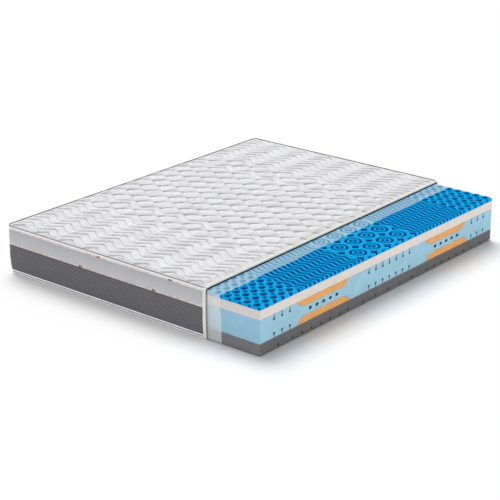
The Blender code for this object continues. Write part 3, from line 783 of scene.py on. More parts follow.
def build_memory_foam():
    """Fine cells where the foam is bare, and cells twice as large where the cover hides it."""
    reach = HALF_LENGTH - FOAM_FACE
    fine_y = np.linspace(-reach, reach, 2 * round(reach / FOAM_CELL) + 1)
    fine_x = np.linspace(SEAM_X, CORE_END_X, round((CORE_END_X - SEAM_X) / FOAM_CELL))
    coarse_x = columns(FOAM_LOW.x, SEAM_X - 0.005, 0.0085, FOAM_FACE)
    coarse, coarse_relief = foam_surface(coarse_x, fine_y[::2])
    fine, fine_relief = foam_surface(fine_x, fine_y)
    verts = np.vstack([coarse.reshape(-1, 3), fine.reshape(-1, 3)])
    start = coarse_relief.size
    faces = grid_quads(*coarse_relief.shape) + grid_quads(*fine_relief.shape, start)
    left = np.arange(start).reshape(coarse_relief.shape)
    right = start + np.arange(fine_relief.size).reshape(fine_relief.shape)
    for i in range(len(left) - 1):
        faces.append([left[i, -1], *right[2 * i:2 * i + 3, 0], left[i + 1, -1]])
    rim = np.concatenate([
        left[0], right[0], right[1:, -1], right[-1, -2::-1], left[-1, ::-1], left[-2:0:-1, 0],
    ])
    verts, faces = close_below(verts, faces, rim, [(FOAM_LOW.z + 0.0008, 0.0), (FOAM_LOW.z, -0.0006)])
    relief = np.concatenate([coarse_relief.ravel(), fine_relief.ravel()])
    relief = np.append(relief, np.full(len(verts) - len(relief), 0.25))
    piece = make_piece("memory_foam", verts, faces, memory_foam_material(), "core",
                       ("memory_foam_top",), {"relief": relief}, 75)


def memory_foam_material():
    """Blue foam with a fine closed skin, bright on the ridges and darkening into the pits as painted shade.
    """
    n = Nodes("memory_foam", 0.9, Specular_IOR_Level=0.02)
    place = n.place()
    cloud = n.math("SUBTRACT", n.noise(place, 60.0, 4.0, 0.6), 0.5)
    uneven = n.math("ADD", n.field("relief", "Fac"), n.math("MULTIPLY", cloud, 0.10))
    # Painted shade: the deeper the relief, the darker and deeper blue the colour
    blue = n.ramp(uneven, (0.0, srgb(15, 178, 240)), (0.25, srgb(6, 168, 236)),
                  (0.50, srgb(0, 104, 192)), (0.88, srgb(14, 8, 94)))
    pores = n.cells(place, 900.0)
    speck = n.range(pores, 0.0, 0.5, 0.25, 0.0)
    skin = n.bump(n.range(pores, 0.0, 0.6), 0.0003, 0.45)
    return n.finish(n.mix(speck, blue, srgb(4, 60, 150)),
                    n.bump(n.noise(place, 350.0, 3.0, 0.6), 0.0004, 0.35, skin))


# ---- cut foam layers

FACE_STEP = 0.008
EDGE_ROUND = 0.0011
SLIT_HALF = 0.0019
# Rows of slits and of channels: first Y, pitch and count
BASE_SLITS = (
    (-0.810, 0.1, 1), (-0.708, 0.0685, 7), (-0.180, 0.0995, 5), (0.345, 0.066, 7), (0.833, 0.1, 1),
)
CORE_SLITS = ((-0.837, 0.055, 3), (-0.1385, 0.055, 7), (0.743, 0.055, 3))
CORE_CHANNELS = ((-0.582, 0.049, 5), (0.415, 0.049, 5))
CHANNEL_Z = 0.117
# The round ends of the slits: height of the centre and radius
BASE_BULB = (0.0165, 0.0044)
UPPER_BULB = (0.1470, 0.0060)
LOWER_BULB = (0.0785, 0.0060)
POCKET_SLOPE = 0.052


def densify(loop, step):
    """A closed loop of points with no edge longer than step."""
    loop = [np.asarray(point, float) for point in loop]
    made = []
    for a, b in zip(loop, loop[1:] + loop[:1]):
        count = max(1, math.ceil(np.hypot(*(b - a)) / step))
        made += [a + (b - a) * i / count for i in range(count)]
    return np.array(made)


def offset_loop(loop, distance):
    """Moves a counter-clockwise loop's corners outwards, square to their two edges."""
    ahead = np.roll(loop, -1, 0) - loop
    ahead = ahead / np.linalg.norm(ahead, axis=1, keepdims=True)
    behind = np.roll(ahead, 1, 0)
    normal = unit(np.stack([ahead[:, 1] + behind[:, 1], -ahead[:, 0] - behind[:, 0]], -1))
    square = np.clip(normal[:, 0] * ahead[:, 1] - normal[:, 1] * ahead[:, 0], 0.45, 1)
    return loop + normal * distance / square[:, None]


def inside_loops(points, loops):
    """Even-odd test of points against closed loops."""
    found = np.zeros(len(points), bool)
    for loop in loops:
        a, b = loop, np.roll(loop, -1, 0)
        for (ax, ay), (bx, by) in zip(a, b):
            if ay == by:
                continue
            cross = (ay > points[:, 1]) != (by > points[:, 1])
            found ^= cross & (points[:, 0] < (bx - ax) * (points[:, 1] - ay) / (by - ay) + ax)
    return found


def cap_triangles(loops, step):
    """Extra points inside the loops, and triangles over loops and points together."""
    edges = []
    start = 0
    for loop in loops:
        edges += [(start + i, start + (i + 1) % len(loop)) for i in range(len(loop))]
        start += len(loop)
    low, high = np.min(loops[0], 0), np.max(loops[0], 0)
    counts = np.maximum(2, np.round((high - low) / step)).astype(int)
    axes = [np.linspace(low[i], high[i], counts[i] + 1)[1:-1] for i in (0, 1)]
    grid = np.stack(np.meshgrid(*axes), -1).reshape(-1, 2)
    rim = np.vstack(loops)
    grid = grid[inside_loops(grid, loops)]
    tree = kdtree.KDTree(len(rim))
    for i, point in enumerate(rim):
        tree.insert((*point, 0), i)
    tree.balance()
    grid = np.array([point for point in grid if tree.find((*point, 0))[2] > step * 0.45]).reshape(-1, 2)
    points = [Vector(point) for point in np.vstack([rim, grid])]
    made, _, faces, origins, _, _ = delaunay_2d_cdt(points, edges, [], 0, 1e-7)
    back = [origin[0] if origin else -1 for origin in origins]
    places = np.array([tuple(point) for point in made])
    faces = np.array(faces)
    keep = inside_loops(places[faces].mean(1), loops)
    return grid, [tuple(back[i] for i in face) for face in faces[keep]]


def foam_block(name, outline, holes, material, node, seed, pockets=()):
    """Foam cut to a YZ outline with holes through it, softly rounded where it is cut at +X."""
    loops = [densify(loop, FACE_STEP) for loop in [outline, *holes]]
    stations = [*bend_places(FOAM_LOW.x, FOAM_FACE, 5), -0.5, -0.2, 0.1, 0.35]
    stations += list(np.linspace(SEAM_X, CORE_END_X - EDGE_ROUND, 28))
    rings = [(x, 0.0) for x in stations]
    rings += [(CORE_END_X - EDGE_ROUND * 0.35, 0.3 * EDGE_ROUND), (CORE_END_X, EDGE_ROUND)]
    flat = np.vstack(loops)
    count = len(flat)
    shapes = []
    for x, pull in rings:
        ring = np.vstack([offset_loop(loop, -pull) for loop in loops]) if pull else flat.copy()
        limit = float(plan_edge(np.array(x), FOAM_FACE))
        ring[:, 0] = np.clip(ring[:, 0], -limit, limit)
        uneven = 0.00035 * smoothstep(0.40, 0.56, x)
        ring[:, 1] += uneven * ripple(x, ring[:, 0], seed, longest=0.15, shortest=0.02)
        outside = np.sign(ring[:, 0]) * uneven * (np.abs(ring[:, 0]) > limit - 0.002)
        ring[:, 0] -= outside * (1 + ripple(x, ring[:, 1], seed + 1, longest=0.12, shortest=0.02))
        shapes.append(np.column_stack([np.full(count, x), ring]))
    grid, front = cap_triangles(split_loops(shapes[-1][:, 1:], loops), FACE_STEP)
    bulge = 0.0004 * ripple(grid[:, 0], grid[:, 1], seed + 2, longest=0.1, shortest=0.016)
    verts = np.vstack([*shapes, np.column_stack([CORE_END_X + bulge, grid])])
    # Where the foam's material paints shade on the walls of slits and holes
    hollow = hollow_points(loops, pockets)
    hollow = np.concatenate([hollow * (x < CORE_END_X - 0.0001) for x, _ in rings] + [np.zeros(len(grid))])
    shift = (len(rings) - 1) * count
    faces = [tuple(i + shift for i in face) for face in front]
    back = [[Vector((*point, 0)) for point in part] for part in split_loops(shapes[0][:, 1:], loops)]
    faces += [tuple(reversed(face)) for face in tessellate_polygon(back)]
    begin = 0
    for loop in loops:
        index = begin + np.arange(len(loop))
        for k in range(len(rings) - 1):
            faces += ring_quads(index + k * count, index + (k + 1) * count)
        begin += len(loop)
    piece = make_piece(name, verts, faces, material, "core", (node,), {"hollow": hollow}, 45)


def hollow_points(loops, pockets):
    """1 on the walls of slits and holes, where shade is painted; 0 where inserts fill a pocket and on the
    block's own outside.
    """
    low = np.min(loops[0], 0) + 0.0005
    high = np.max(loops[0], 0) - 0.0005
    inside = [np.all((loop > low) & (loop < high), 1) for loop in loops]
    for first, last in pockets:
        inside[0] &= (loops[0][:, 0] < first - GAP) | (loops[0][:, 0] > last + GAP)
    return np.concatenate(inside).astype(float)


def split_loops(points, loops):
    """The same points cut into runs as long as the loops."""
    ends = np.cumsum([len(loop) for loop in loops])
    return np.split(points, ends[:-1])


def spaced(start, pitch, count):
    """Count places, each a pitch after the one before."""
    return [start + pitch * i for i in range(count)]


def heights_of(node):
    """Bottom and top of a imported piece."""
    return [corner.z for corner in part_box(node)]


def keyhole(y, face_z, bulb_z, radius):
    """A slit from a face to a round bulb, as points in the order of rising y."""
    way = 1 if face_z > bulb_z else -1
    first = math.asin(SLIT_HALF / radius)
    points = [(y - SLIT_HALF, face_z)]
    for i in range(21):
        turn = first + (2 * math.pi - 2 * first) * i / 20
        points.append((y - radius * math.sin(turn), bulb_z + way * radius * math.cos(turn)))
    points.append((y + SLIT_HALF, face_z))
    return points


def pocket(span, face_z, depth, ease=0.0):
    """A tray-shaped recess with sloping, flattening ends; ease makes it that much smaller all round."""
    low_z = face_z + math.copysign(ease, depth)
    deep = depth - 2 * math.copysign(ease, depth)
    parts = [i / 14 for i in range(15)]
    ends = [(ease + POCKET_SLOPE * part, low_z + deep * (1 - (1 - part) ** 1.75)) for part in parts]
    return [(span[0] + step, z) for step, z in ends] + [(span[1] - step, z) for step, z in reversed(ends)]


def layer_outline(bottom, top, lower=(), upper=()):
    """Counter-clockwise YZ outline of a foam layer, with features cut into its two faces."""
    edge = HALF_LENGTH - FOAM_FACE
    outline = [(-edge, bottom)]
    for feature in sorted(lower):
        outline += feature
    outline += [(edge, bottom), (edge, top)]
    for feature in sorted(upper, reverse=True):
        outline += reversed(feature)
    outline.append((-edge, top))
    return outline


def build_foam():
    """The foam layers, from the base up, and the inserts in their pockets."""
    grey = foam_material("base_foam", srgb(112, 112, 115), 520.0, 0.16)
    low, high = heights_of("base_foam")
    slits = [keyhole(y, low, *BASE_BULB) for group in BASE_SLITS for y in spaced(*group)]
    foam_block("base_foam_block", layer_outline(low, high, slits), [], grey, "base_foam", 21)

    light_blue = foam_material("core_foam", srgb(160, 204, 227), 480.0, 0.14)
    low, high = heights_of("core_foam")
    places = [y for group in CORE_SLITS for y in spaced(*group)]
    upper = [keyhole(y, high, *UPPER_BULB) for y in places]
    lower = [keyhole(y, low, *LOWER_BULB) for y in places]
    inserts = (
        ("foot_upper_insert", (-0.677, -0.295), high, -0.0315),
        ("head_upper_insert", (0.330, 0.685), high, -0.0315),
        ("foot_lower_insert", (-0.677, -0.286), low, 0.0345),
        ("head_lower_insert", (0.335, 0.710), low, 0.0345),
    )
    for name, span, face_z, depth in inserts:
        (upper if depth < 0 else lower).append(pocket(span, face_z, depth))
    turns = [2 * math.pi * i / 28 for i in range(28)]
    channels = [
        [(y + 0.0108 * math.cos(t), CHANNEL_Z - 0.0072 * math.sin(t)) for t in turns]
        for group in CORE_CHANNELS for y in spaced(*group)
    ]
    foam_block("core_foam_block", layer_outline(low, high, lower, upper), channels, light_blue,
               "core_foam", 31, [span for _, span, _, _ in inserts])
    orange = foam_material("insert_foam", srgb(232, 172, 110), 420.0, 0.12)
    for seed, (name, span, face_z, depth) in enumerate(inserts):
        outline = pocket(span, face_z, depth, GAP)
        outline = outline if depth < 0 else outline[::-1]
        foam_block(name + "_block", outline, [], orange, name, 41 + seed)

    white = foam_material("comfort_foam", srgb(226, 219, 217), 560.0, 0.08)
    low, high = heights_of("comfort_foam")
    foam_block("comfort_foam_block", layer_outline(low, high), [], white,
               "comfort_foam", 51)


# ---- border strips, piping, welts and zip

# Lower and upper edge of each strip of the border
STRIP_EDGES = {
    "dark_mesh": (0.0200, 0.1527), "lower_ribbon": (0.1530, 0.1605), "light_mesh": (0.1608, 0.2272),
    "upper_ribbon": (0.2275, 0.2355), "gusset": (0.2358, 0.2450),
    "lower_welt": (0.0028, 0.0067), "upper_welt": (0.0137, 0.0197),
    "lower_tape": (0.0028, 0.01005), "upper_tape": (0.01035, 0.0197),
}
# Band looks up the path length of strips wider than this
NARROWEST_SHEET = 0.01
# Inset of the welts' backs, repeats along strips, piping and zip, and places on the ribbons
WELT_BACK = 0.0115
GATHER_PITCH = 0.0137
TWIST_PITCH = 0.0075
TOOTH_PITCH = 0.0022
RIBBON_MIDDLE = 0.0042
TICK_HALF = 0.0055


def band(name, sink, thickness, material, node, steps, tuck, wave, seed,
         back=None, step=0.012, pucker=0.0):
    """A strip of the border: tucked in at its two seams and a little uneven between them."""
    low, high = STRIP_EDGES[name]
    part = 0.5 - 0.5 * np.cos(math.pi * np.arange(steps + 1) / steps)
    heights = low + (high - low) * part
    seam = np.minimum(heights - low, high - heights)
    roll = min(0.006, (high - low) * 0.35)
    face = envelope_inset(heights) + sink
    front = face + tuck * (1 - np.sqrt(np.clip(seam / roll, 0, 1)))
    rear = np.full(len(front), back) if back else face + thickness
    profile = strip_profile(front, rear, heights)

    def shift(distance, points):
        z = points[..., 1]
        inward = np.clip(np.minimum(z - low, high - z), 0, None)
        push = wave * ripple(distance, z * 2, seed, longest=0.3, shortest=0.03)
        push = push * np.clip(inward / 0.008, 0.15, 1)
        turn = 2 * np.pi * distance / GATHER_PITCH + 2 * ripple(distance, 0 * z, seed + 9)
        gather = pucker * np.sin(turn)
        gather = gather * np.exp(-inward / 0.008) * np.clip(inward / 0.0015, 0, 1)
        return np.stack([-push - gather, np.zeros(np.broadcast(distance, z).shape)], -1)

    piece = sweep(name, profile, step, material, node, shift, 60)
    if high - low > NARROWEST_SHEET:
        border_path(step)[2][-1]


def cord(name, centre, radii, sides, step, material, node, swell, end_x=CLOTH_END_X):
    """A round or oval strip; swell(distance, turn) is how far its surface stands out."""
    turns = -2 * math.pi * np.arange(sides) / sides
    profile = np.column_stack([centre[0] + radii[0] * np.cos(turns), centre[1] + radii[1] * np.sin(turns)])

    def shift(distance, points):
        turn = np.arctan2(points[..., 1] - centre[1], points[..., 0] - centre[0])
        out = swell(distance, turn)
        return np.stack([out * np.cos(turn), out * np.sin(turn)], -1)

    sweep(name, profile, step, material, node, shift, 75, end_x)


def stuffing(amount, seed):
    """Small unevenness along a cord, for its swell."""
    return lambda distance, turn: amount * ripple(distance, 0 * turn, seed, longest=0.12, shortest=0.02)


def build_border():
    """Mesh strips, ribbons, gusset, piping, welts and the zip, from the widest strips to the finest."""
    # The last number of each look is how much painted shade darkens the mesh towards its top
    for name, steps, tuck, wave, seed, look in (
        ("dark_mesh", 20, 0.0018, 0.0008, 3,
         (srgb(122, 120, 124), srgb(44, 43, 47), 0.0105, 0.0009, 0.13, 0.06)),
        ("light_mesh", 16, 0.0016, 0.0006, 4,
         (srgb(215, 215, 220), srgb(168, 167, 173), 0.0042, 0.0004, 0.066, 0.30)),
    ):
        band(name, 0.0006, 0.0025, mesh_material(name, *look), name + "_band",
             steps, tuck, wave, seed, pucker=0.0003)
    for name, node, seed, ticks in (
        ("lower_ribbon", "lower_trim_ribbon", 5, (0.471, 0.3093, False)),
        ("upper_ribbon", "upper_trim_ribbon", 6, (0.4505, 0.2113, True)),
    ):
        band(name, 0.0, 0.0028, ribbon_material(name, *ticks), node,
             8, 0.0006, 0.00015, seed)
    white = woven_material("white_cloth", srgb(250, 250, 251), 0.0014, 0.1)
    band("gusset", -0.0010, 0.0, white, "upper_gusset",
         8, 0.0007, 0.0002, 7, back=0.0090, step=0.004, pucker=0.0004)

    grey = woven_material("piping", srgb(160, 160, 165), 0.0009, 0.25)
    cord("piping", (0.0066, 0.2470), (0.0026, 0.0026), 14, 0.0016, grey,
         "top_piping", twisted, BINDING_START_X + 0.001)
    for node, seed in (("upper_welt", 11), ("lower_welt", 12)):
        low, high = STRIP_EDGES[node]
        middle = (low + high) / 2
        front = float(envelope_inset(middle)) + 0.0006
        cord(node + "_roll", ((WELT_BACK + front) / 2, middle), ((WELT_BACK - front) / 2, (high - low) / 2),
             14, 0.004, white, node, stuffing(0.0003, seed))

    tape = woven_material("zip_tape", srgb(172, 170, 177), 0.0009)
    for name in ("lower_tape", "upper_tape"):
        heights = np.linspace(*STRIP_EDGES[name], 7)
        ribs = 0.0120 + 0.00012 * np.cos(np.arange(7) * math.pi)
        profile = strip_profile(ribs, np.full(7, 0.0130), heights)
        sweep(name, profile, 0.006, tape, "zip_" + name)
    nylon = grained_material("zip_nylon", 0.42, (800.0, 2.0, 0.5), srgb(150, 149, 156),
                             srgb(176, 175, 182), (0.0001, 0.4), Specular_IOR_Level=0.5)
    cord("zip_coil", (0.0101, 0.0102), (0.0014, 0.0018), 10, 0.00066, nylon,
         "zip_chain", teeth)


def twisted(distance, turn):
    """The piping's swell: a rope's twist over a little unevenness."""
    twist = np.cos(2 * turn + 2 * np.pi * distance / TWIST_PITCH)
    return stuffing(0.0001, 8)(distance, turn) + 0.0002 * twist


def teeth(distance, turn):
    """The coil's swell: a ridge for each tooth, with the two rows half a tooth apart."""
    row = np.where(np.sin(turn) > 1e-6, 0, np.pi)
    return 0.00022 * np.cos(2 * np.pi * distance / TOOTH_PITCH + row)


def ribbon_material(name, period, first, red_first):
    """Pale woven ribbon with a row of plain orange dashes and small red and green ticks.

    A pair of ticks comes every period metres from first on; every third pair is left out.
    """
    n = Nodes(name, 0.7, Sheen_Weight=0.1)
    u, v, _ = n.split(n.field("weave"))
    thread = n.range(n.crossing(u, v, 0.0009, 0.0009), -1.0, 1.0)
    colour = n.ramp(thread, (0.1, srgb(216, 212, 210)), (0.9, srgb(238, 234, 232)))
    middle = n.math("ABSOLUTE", n.math("SUBTRACT", v, RIBBON_MIDDLE))
    along_only = n.add("CombineXYZ", {0: u}).outputs[0]
    wobble = n.noise(along_only, 40.0, 2.0, 0.5)
    along = n.math("PINGPONG", n.math("ADD", u, n.math("MULTIPLY", wobble, 0.012)), 0.0235)
    dash = n.math("MULTIPLY", n.range(along, 0.0065, 0.0078), n.range(middle, 0.0022, 0.0016))
    worn = n.range(n.noise(along_only, 8.0, 1.0, 0.5), 0.44, 0.56, 0.05, 0.80)
    tint = n.ramp(wobble, (0.3, srgb(240, 132, 84)), (0.7, srgb(244, 160, 134)))
    colour = n.mix(n.math("MULTIPLY", dash, worn), colour, tint)
    ahead = n.math("ADD", u, period * 12 - first + period / 2)
    spot = n.math("SUBTRACT", n.math("MODULO", ahead, period), period / 2)
    worked = n.math("LESS_THAN", n.math("MODULO", ahead, period * 3), period * 2)
    tall = n.math("MULTIPLY", n.range(middle, 0.0042, 0.0038), worked)
    red_side = 1 if red_first else -1
    for side in (1, -1):
        away = n.math("ABSOLUTE", n.math("SUBTRACT", spot, TICK_HALF * side))
        mark = n.math("MULTIPLY", n.range(away, TICK_HALF, TICK_HALF - 0.0004), tall)
        stitched = srgb(214, 40, 52) if side == red_side else srgb(30, 104, 44)
        colour = n.mix(n.math("MULTIPLY", mark, 0.92), colour, stitched)
    return n.finish(colour, n.bump(thread, 0.00015, 0.5))


# ---- binding round the cut mouth

# NOSE is how far the fold stands out, FOLD how much of the way from outer to inner outline it takes
BINDING_THICKNESS = 0.0008
NOSE = 0.0042
FOLD = 0.50
INNER_EDGE_X = CLOTH_END_X + GAP
BINDING_CORNER = 0.013


def section_path(step):
    """The cover's closed YZ outline as (outer place, outward normal, matching inner place)."""
    low_in, high_in = INNER_FLOOR - GAP, INNER_CEILING + GAP
    heights = np.arange(CLOTH_FLOOR, SHOULDER_Z - BINDING_CORNER, step)
    foot = np.column_stack([-HALF_LENGTH + envelope_inset(heights), heights])
    turn = np.linspace(0, math.pi / 2, 8)
    edge = HALF_LENGTH - 0.0046 - BINDING_CORNER
    corner = np.column_stack([-edge - BINDING_CORNER * np.cos(turn),
                              SHOULDER_Z - BINDING_CORNER * (1 - np.sin(turn))])
    foot = np.vstack([foot, corner])
    rise = (foot[:, 1] - CLOTH_FLOOR) / (SHOULDER_Z - CLOTH_FLOOR)
    foot_in = np.column_stack([np.full(len(foot), -INNER_REACH), low_in + (high_in - low_in) * rise])
    across = np.linspace(-edge, edge, 2 * round(edge / step) + 1)[1:-1]
    top = np.column_stack([across, envelope_top(HALF_LENGTH - np.abs(across))])
    top_in = np.column_stack([across * INNER_REACH / edge, np.full(len(across), high_in)])
    floor = np.column_stack([across[::-1], np.full(len(across), CLOTH_FLOOR)])
    floor_in = np.column_stack([across[::-1] * INNER_REACH / edge, np.full(len(across), low_in)])
    outer = np.vstack([foot, top, foot[::-1] * (-1, 1), floor])
    inner = np.vstack([foot_in, top_in, foot_in[::-1] * (-1, 1), floor_in])
    way = np.roll(outer, -1, 0) - np.roll(outer, 1, 0)
    return outer, unit(np.column_stack([-way[:, 1], way[:, 0]])), inner


def envelope_top(inset):
    """Height of the border's outer face where it has turned in over the top."""
    table = [(i, z) for i, z in ENVELOPE if z >= SHOULDER_Z]
    return np.interp(inset, [i for i, _ in table], [z for _, z in table])


def binding_skin(offset, nose, start_x):
    """Rings of one side of the tape, from the outer leg round the nose to the inner leg.

    Each ring is (X, how far it has gone from the outer to the inner outline, offset).
    """
    centre_x = MOUTH_X - NOSE
    made = [(x, 0.0) for x in np.linspace(start_x, centre_x, 6)[:-1]]
    for turn in np.linspace(0, math.pi, 15):
        bulge = centre_x + nose * math.sin(turn) ** 0.8
        bulge = max(bulge, INNER_EDGE_X) if turn > math.pi / 2 else bulge
        made.append((bulge, FOLD * (0.5 - 0.5 * math.cos(turn))))
    made += [(INNER_EDGE_X, blend) for blend in (FOLD + 0.015, 0.75, 0.97)]
    made += [(x, 1.0) for x in np.linspace(INNER_EDGE_X, start_x, 3)]
    return [(x, blend, offset) for x, blend in made]


def build_binding():
    """Tape folded over the cut edge: outer leg, rounded nose and inner leg, with its back to the cloth."""
    outer, normal, inner = section_path(0.006)
    count = len(outer)
    length = run_length(outer)
    places = binding_skin(GAP + BINDING_THICKNESS, NOSE, BINDING_START_X)
    places += binding_skin(GAP, NOSE - BINDING_THICKNESS, BINDING_START_X + 0.0001)[::-1]
    lip = np.minimum(1, np.maximum(outer[:, 1] - CLOTH_FLOOR, 0) / 0.01)
    # Painted shadow: the tape past the fold, tucked under the nose, gets the dark tuck colour, weaker low
    # down
    deep = 0.25 + 0.75 * smoothstep(0.20, 0.24, outer[:, 1])
    shadow = np.concatenate([deep * (blend > FOLD + 0.01) for _, blend, _ in places])
    inset = inner - outer
    towards = unit(inset)
    waver = 0.0006 * ripple(length, 0 * length, 62, longest=0.4, shortest=0.05)
    skins = []
    for x, blend, offset in places:
        ring = outer + normal * offset * (1 - blend) + inset * blend - towards * offset * blend
        pad = 0.00025 * ripple(length, 0 * length + x, 61, longest=0.09, shortest=0.014) * lip * (1 - blend)
        hem = 0.0003 * (x < BINDING_START_X + 0.002) * (blend == 0) * lip
        ring = ring + normal * (pad - hem)[:, None]
        leg = np.where(outer[:, 1] > 0.2470, max(x, TOP_LEG_X), x) if blend == 0 else x
        slant_x = aslant(leg + waver * (x < BINDING_START_X + 0.012), ring[:, 0])
        skins.append(np.column_stack([slant_x, ring[:, 0], np.maximum(ring[:, 1], 0.0001)]))
    girths = np.repeat(0.0035 * np.arange(len(skins)), count)
    weave = np.column_stack([np.tile(length, len(skins)), girths, np.zeros(len(girths))])
    # The last colour is the painted shadow on the tucked-in part of the tape
    tape = woven_material("binding_tape", srgb(246, 244, 236), 0.0013, 0.12, 0.0003, srgb(22, 40, 46))
    make_piece("binding", np.vstack(skins), tube_quads(len(skins), count, closed=True), tape, "cover",
               ("cut_edge_binding",), {"weave": weave, "tuck": shadow}, 70)
    build_binding_thread(outer, normal, length)


def build_binding_thread(outer, normal, length):
    """The row of stitches that holds the binding's outer leg, above the floor."""
    spots = np.arange(0, length[-1], 0.0045)
    shown = np.interp(spots, length, (outer[:, 1] > 0.004).astype(float)) > 0.99
    shown = shown[:-1] & shown[1:]
    row, side = (
        np.column_stack([np.interp(spots, length, table[:, i]) for i in (0, 1)])
        for table in (outer, normal)
    )
    side = unit(side)
    row = row + side * (GAP + BINDING_THICKNESS + 0.0001)
    ends = np.concatenate([row[:-1, None], row[:-1, None] + 0.75 * (row[1:, None] - row[:-1, None])], 1)
    ends = np.concatenate([aslant(BINDING_START_X + 0.0045, ends[..., :1]), ends], 2)[shown]
    normals = np.column_stack([np.zeros(len(side)), side])[:-1][shown]
    thread_stitches("binding_thread", ends, normals)


# ---- base cloth and film liner

BASE_INSET = 0.0100
TACK_PITCH = 0.063
FILM_STEP = 0.0045


def build_base_panel():
    """Cloth underneath: shallow pillows between a square grid of tacks, thinner inside the binding."""
    low_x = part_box("base_panel")[0].x
    x = columns(low_x, CLOTH_END_X, 0.0105, BASE_INSET, (BINDING_START_X - 0.0004, BINDING_START_X))
    y = np.linspace(-1, 1, 181)[:, None] * plan_edge(x, BASE_INSET)[None]
    grid_x = np.broadcast_to(x, y.shape)
    lip = grid_x > BINDING_START_X - 0.0003
    edge = smoothstep(0, 0.02, inside_distance(grid_x, y, BASE_INSET)) * (1 - near_mouth(grid_x, 0))
    grid_x = aslant(grid_x, y, SLANT_FROM_X)
    pillow = np.abs(np.sin(np.pi * grid_x / TACK_PITCH) * np.sin(np.pi * y / TACK_PITCH)) ** 0.5
    under = np.where(lip, CLOTH_FLOOR, 0.0009 * (1 - edge * pillow))
    over = np.where(lip, INNER_FLOOR, 0.0025)
    verts = np.vstack([np.stack([grid_x, y, z], -1).reshape(-1, 3) for z in (over, under)])
    faces = grid_quads(*y.shape) + grid_quads(*y.shape, y.size)
    rim = rim_of(*y.shape)
    faces += ring_quads(rim, rim + y.size)
    cloth = woven_material("base_cloth", srgb(204, 204, 206), 0.0016)
    piece = make_piece("base_cloth", verts, faces, cloth, "cover", ("base_panel",),
                       {"weave": verts * (1, 1, 0)}, 60)


def build_liner():
    """One film surface round the core, open at +X, with soft creases near its free edge."""
    inset = HALF_LENGTH - LINER_HIGH.y + 0.0002
    floor_z, top_z = LINER_LOW.z + 0.0001, LINER_HIGH.z - 0.0001
    reach = HALF_LENGTH - inset
    foot_z = np.linspace(floor_z, top_z, round((top_z - floor_z) / FILM_STEP) + 1)
    across = np.linspace(-1, 1, 2 * round(reach / FILM_STEP) + 1)
    outer = [(-1.0, z, 0) for z in foot_z] + [(t, top_z, 1) for t in across[1:]]
    outer += [(1.0, z, 2) for z in foot_z[-2::-1]] + [(t, floor_z, 3) for t in across[-2:0:-1]]
    part, z, side = (np.array(column) for column in zip(*outer))
    on_top = side == 1
    on_side = (side == 0) | (side == 2)
    x = np.concatenate([
        bend_places(LINER_LOW.x, inset, 6), np.linspace(-0.6, 0.40, 8),
        np.linspace(SEAM_X, LINER_END_X, 26),
    ])
    y = part[None] * plan_edge(x, inset)[:, None]
    grid_x = np.broadcast_to(x[:, None], y.shape)
    girth = run_length(np.column_stack([part * reach, z]))
    free = smoothstep(MOUTH_X - 0.01, MOUTH_X + 0.02, grid_x)
    crease = 0.0006 * free * np.abs(ripple(grid_x, np.broadcast_to(girth, y.shape), 71, 9, 0.12, 0.018))
    y = y + on_side * np.sign(y) * crease
    free_edge = 0.0022 * ripple(girth, 0 * girth, 72, longest=0.5, shortest=0.05)
    grid_x = aslant(grid_x + free_edge * (grid_x > LINER_END_X - 0.001), y, SLANT_FROM_X)
    hollow = foam_relief(grid_x, y) * on_top
    grid_z = z + on_top * crease - 0.0005 * hollow
    verts = np.stack([grid_x, y, grid_z], -1).reshape(-1, 3)
    faces = tube_quads(len(x), len(part))
    faces.append(list(range(len(part))))
    side_film = film_material("film_side", 0.52, srgb(249, 251, 250), srgb(254, 255, 254))
    piece = make_piece("film_liner", verts, faces, side_film, "core", ("inner_liner",),
                       {"relief": hollow.ravel()}, 75)
    top_film = film_material("film_top", 0.45, srgb(224, 242, 224), srgb(234, 250, 234), True)
    piece.data.materials.append(top_film)
    piece.visible_shadow = False
    for face in piece.data.polygons:
        face.material_index = int(abs(face.normal.z) > 0.7)


def film_material(name, alpha, dull, clear, over_pits=False):
    """Milky, slightly cloudy film; over_pits makes it bluer and clearer over the foam's pits."""
    film = Nodes(name, 0.4, Specular_IOR_Level=0.12, Alpha=alpha)
    cloud = film.noise(film.place(), 26.0, 4.0, 0.6)
    colour = film.ramp(cloud, (0.3, dull), (0.7, clear))
    if over_pits:
        relief = film.field("relief", "Fac")
        colour = film.mix(relief, colour, srgb(180, 248, 255))
        film.join(film.range(relief, 0.0, 1.0, alpha, alpha * 0.66), film.shader.inputs["Alpha"])
    return film.finish(colour, film.bump(cloud, 0.003, 0.35))


# ---- metal pieces and carried CAD nodes

def build_metal():
    """The zip's slider and pull tab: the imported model's own shapes with their edges eased."""
    metal = grained_material("zip_metal", 0.32, (900.0, 3.0, 0.6), srgb(150, 150, 153),
                             srgb(186, 186, 189), (0.00005, 0.4), Metallic=1.0)
    for name, node, body in (
        ("slider_body", "zip_slider", "zip_slider"), ("pull_tab", "zip_pull_tab", "zip_pull"),
    ):
        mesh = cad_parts[node].data.copy()
        piece = add_object(name, mesh)
        mesh.materials.clear()
        mesh.materials.append(metal)
        work = bmesh.new()
        work.from_mesh(mesh)
        bmesh.ops.remove_doubles(work, verts=work.verts, dist=NO_LENGTH)
        bmesh.ops.dissolve_limit(work, angle_limit=math.radians(2), verts=work.verts, edges=work.edges)
        sharp = [edge for edge in work.edges if edge.calc_face_angle(0) > math.radians(30)]
        bmesh.ops.bevel(work, geom=sharp, offset=0.00018, segments=2, affect="EDGES", clamp_overlap=True)
        work.to_mesh(mesh)
        work.free()
        mesh.shade_smooth()
        mesh.set_sharp_from_angle(angle=math.radians(35))
        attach(piece, body)
        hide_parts(node)


def paint_hidden_nodes():
    """The inside layers that the cover carries out of sight."""
    fibre = foam_material("fibre_wadding", srgb(240, 240, 238), 300.0, 0.06)
    for node in ("quilt_fibre_wadding", "border_wadding", "quilt_backing_cloth"):
        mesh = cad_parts[node].data
        mesh.materials.clear()
        mesh.materials.append(fibre)


# ---- studio

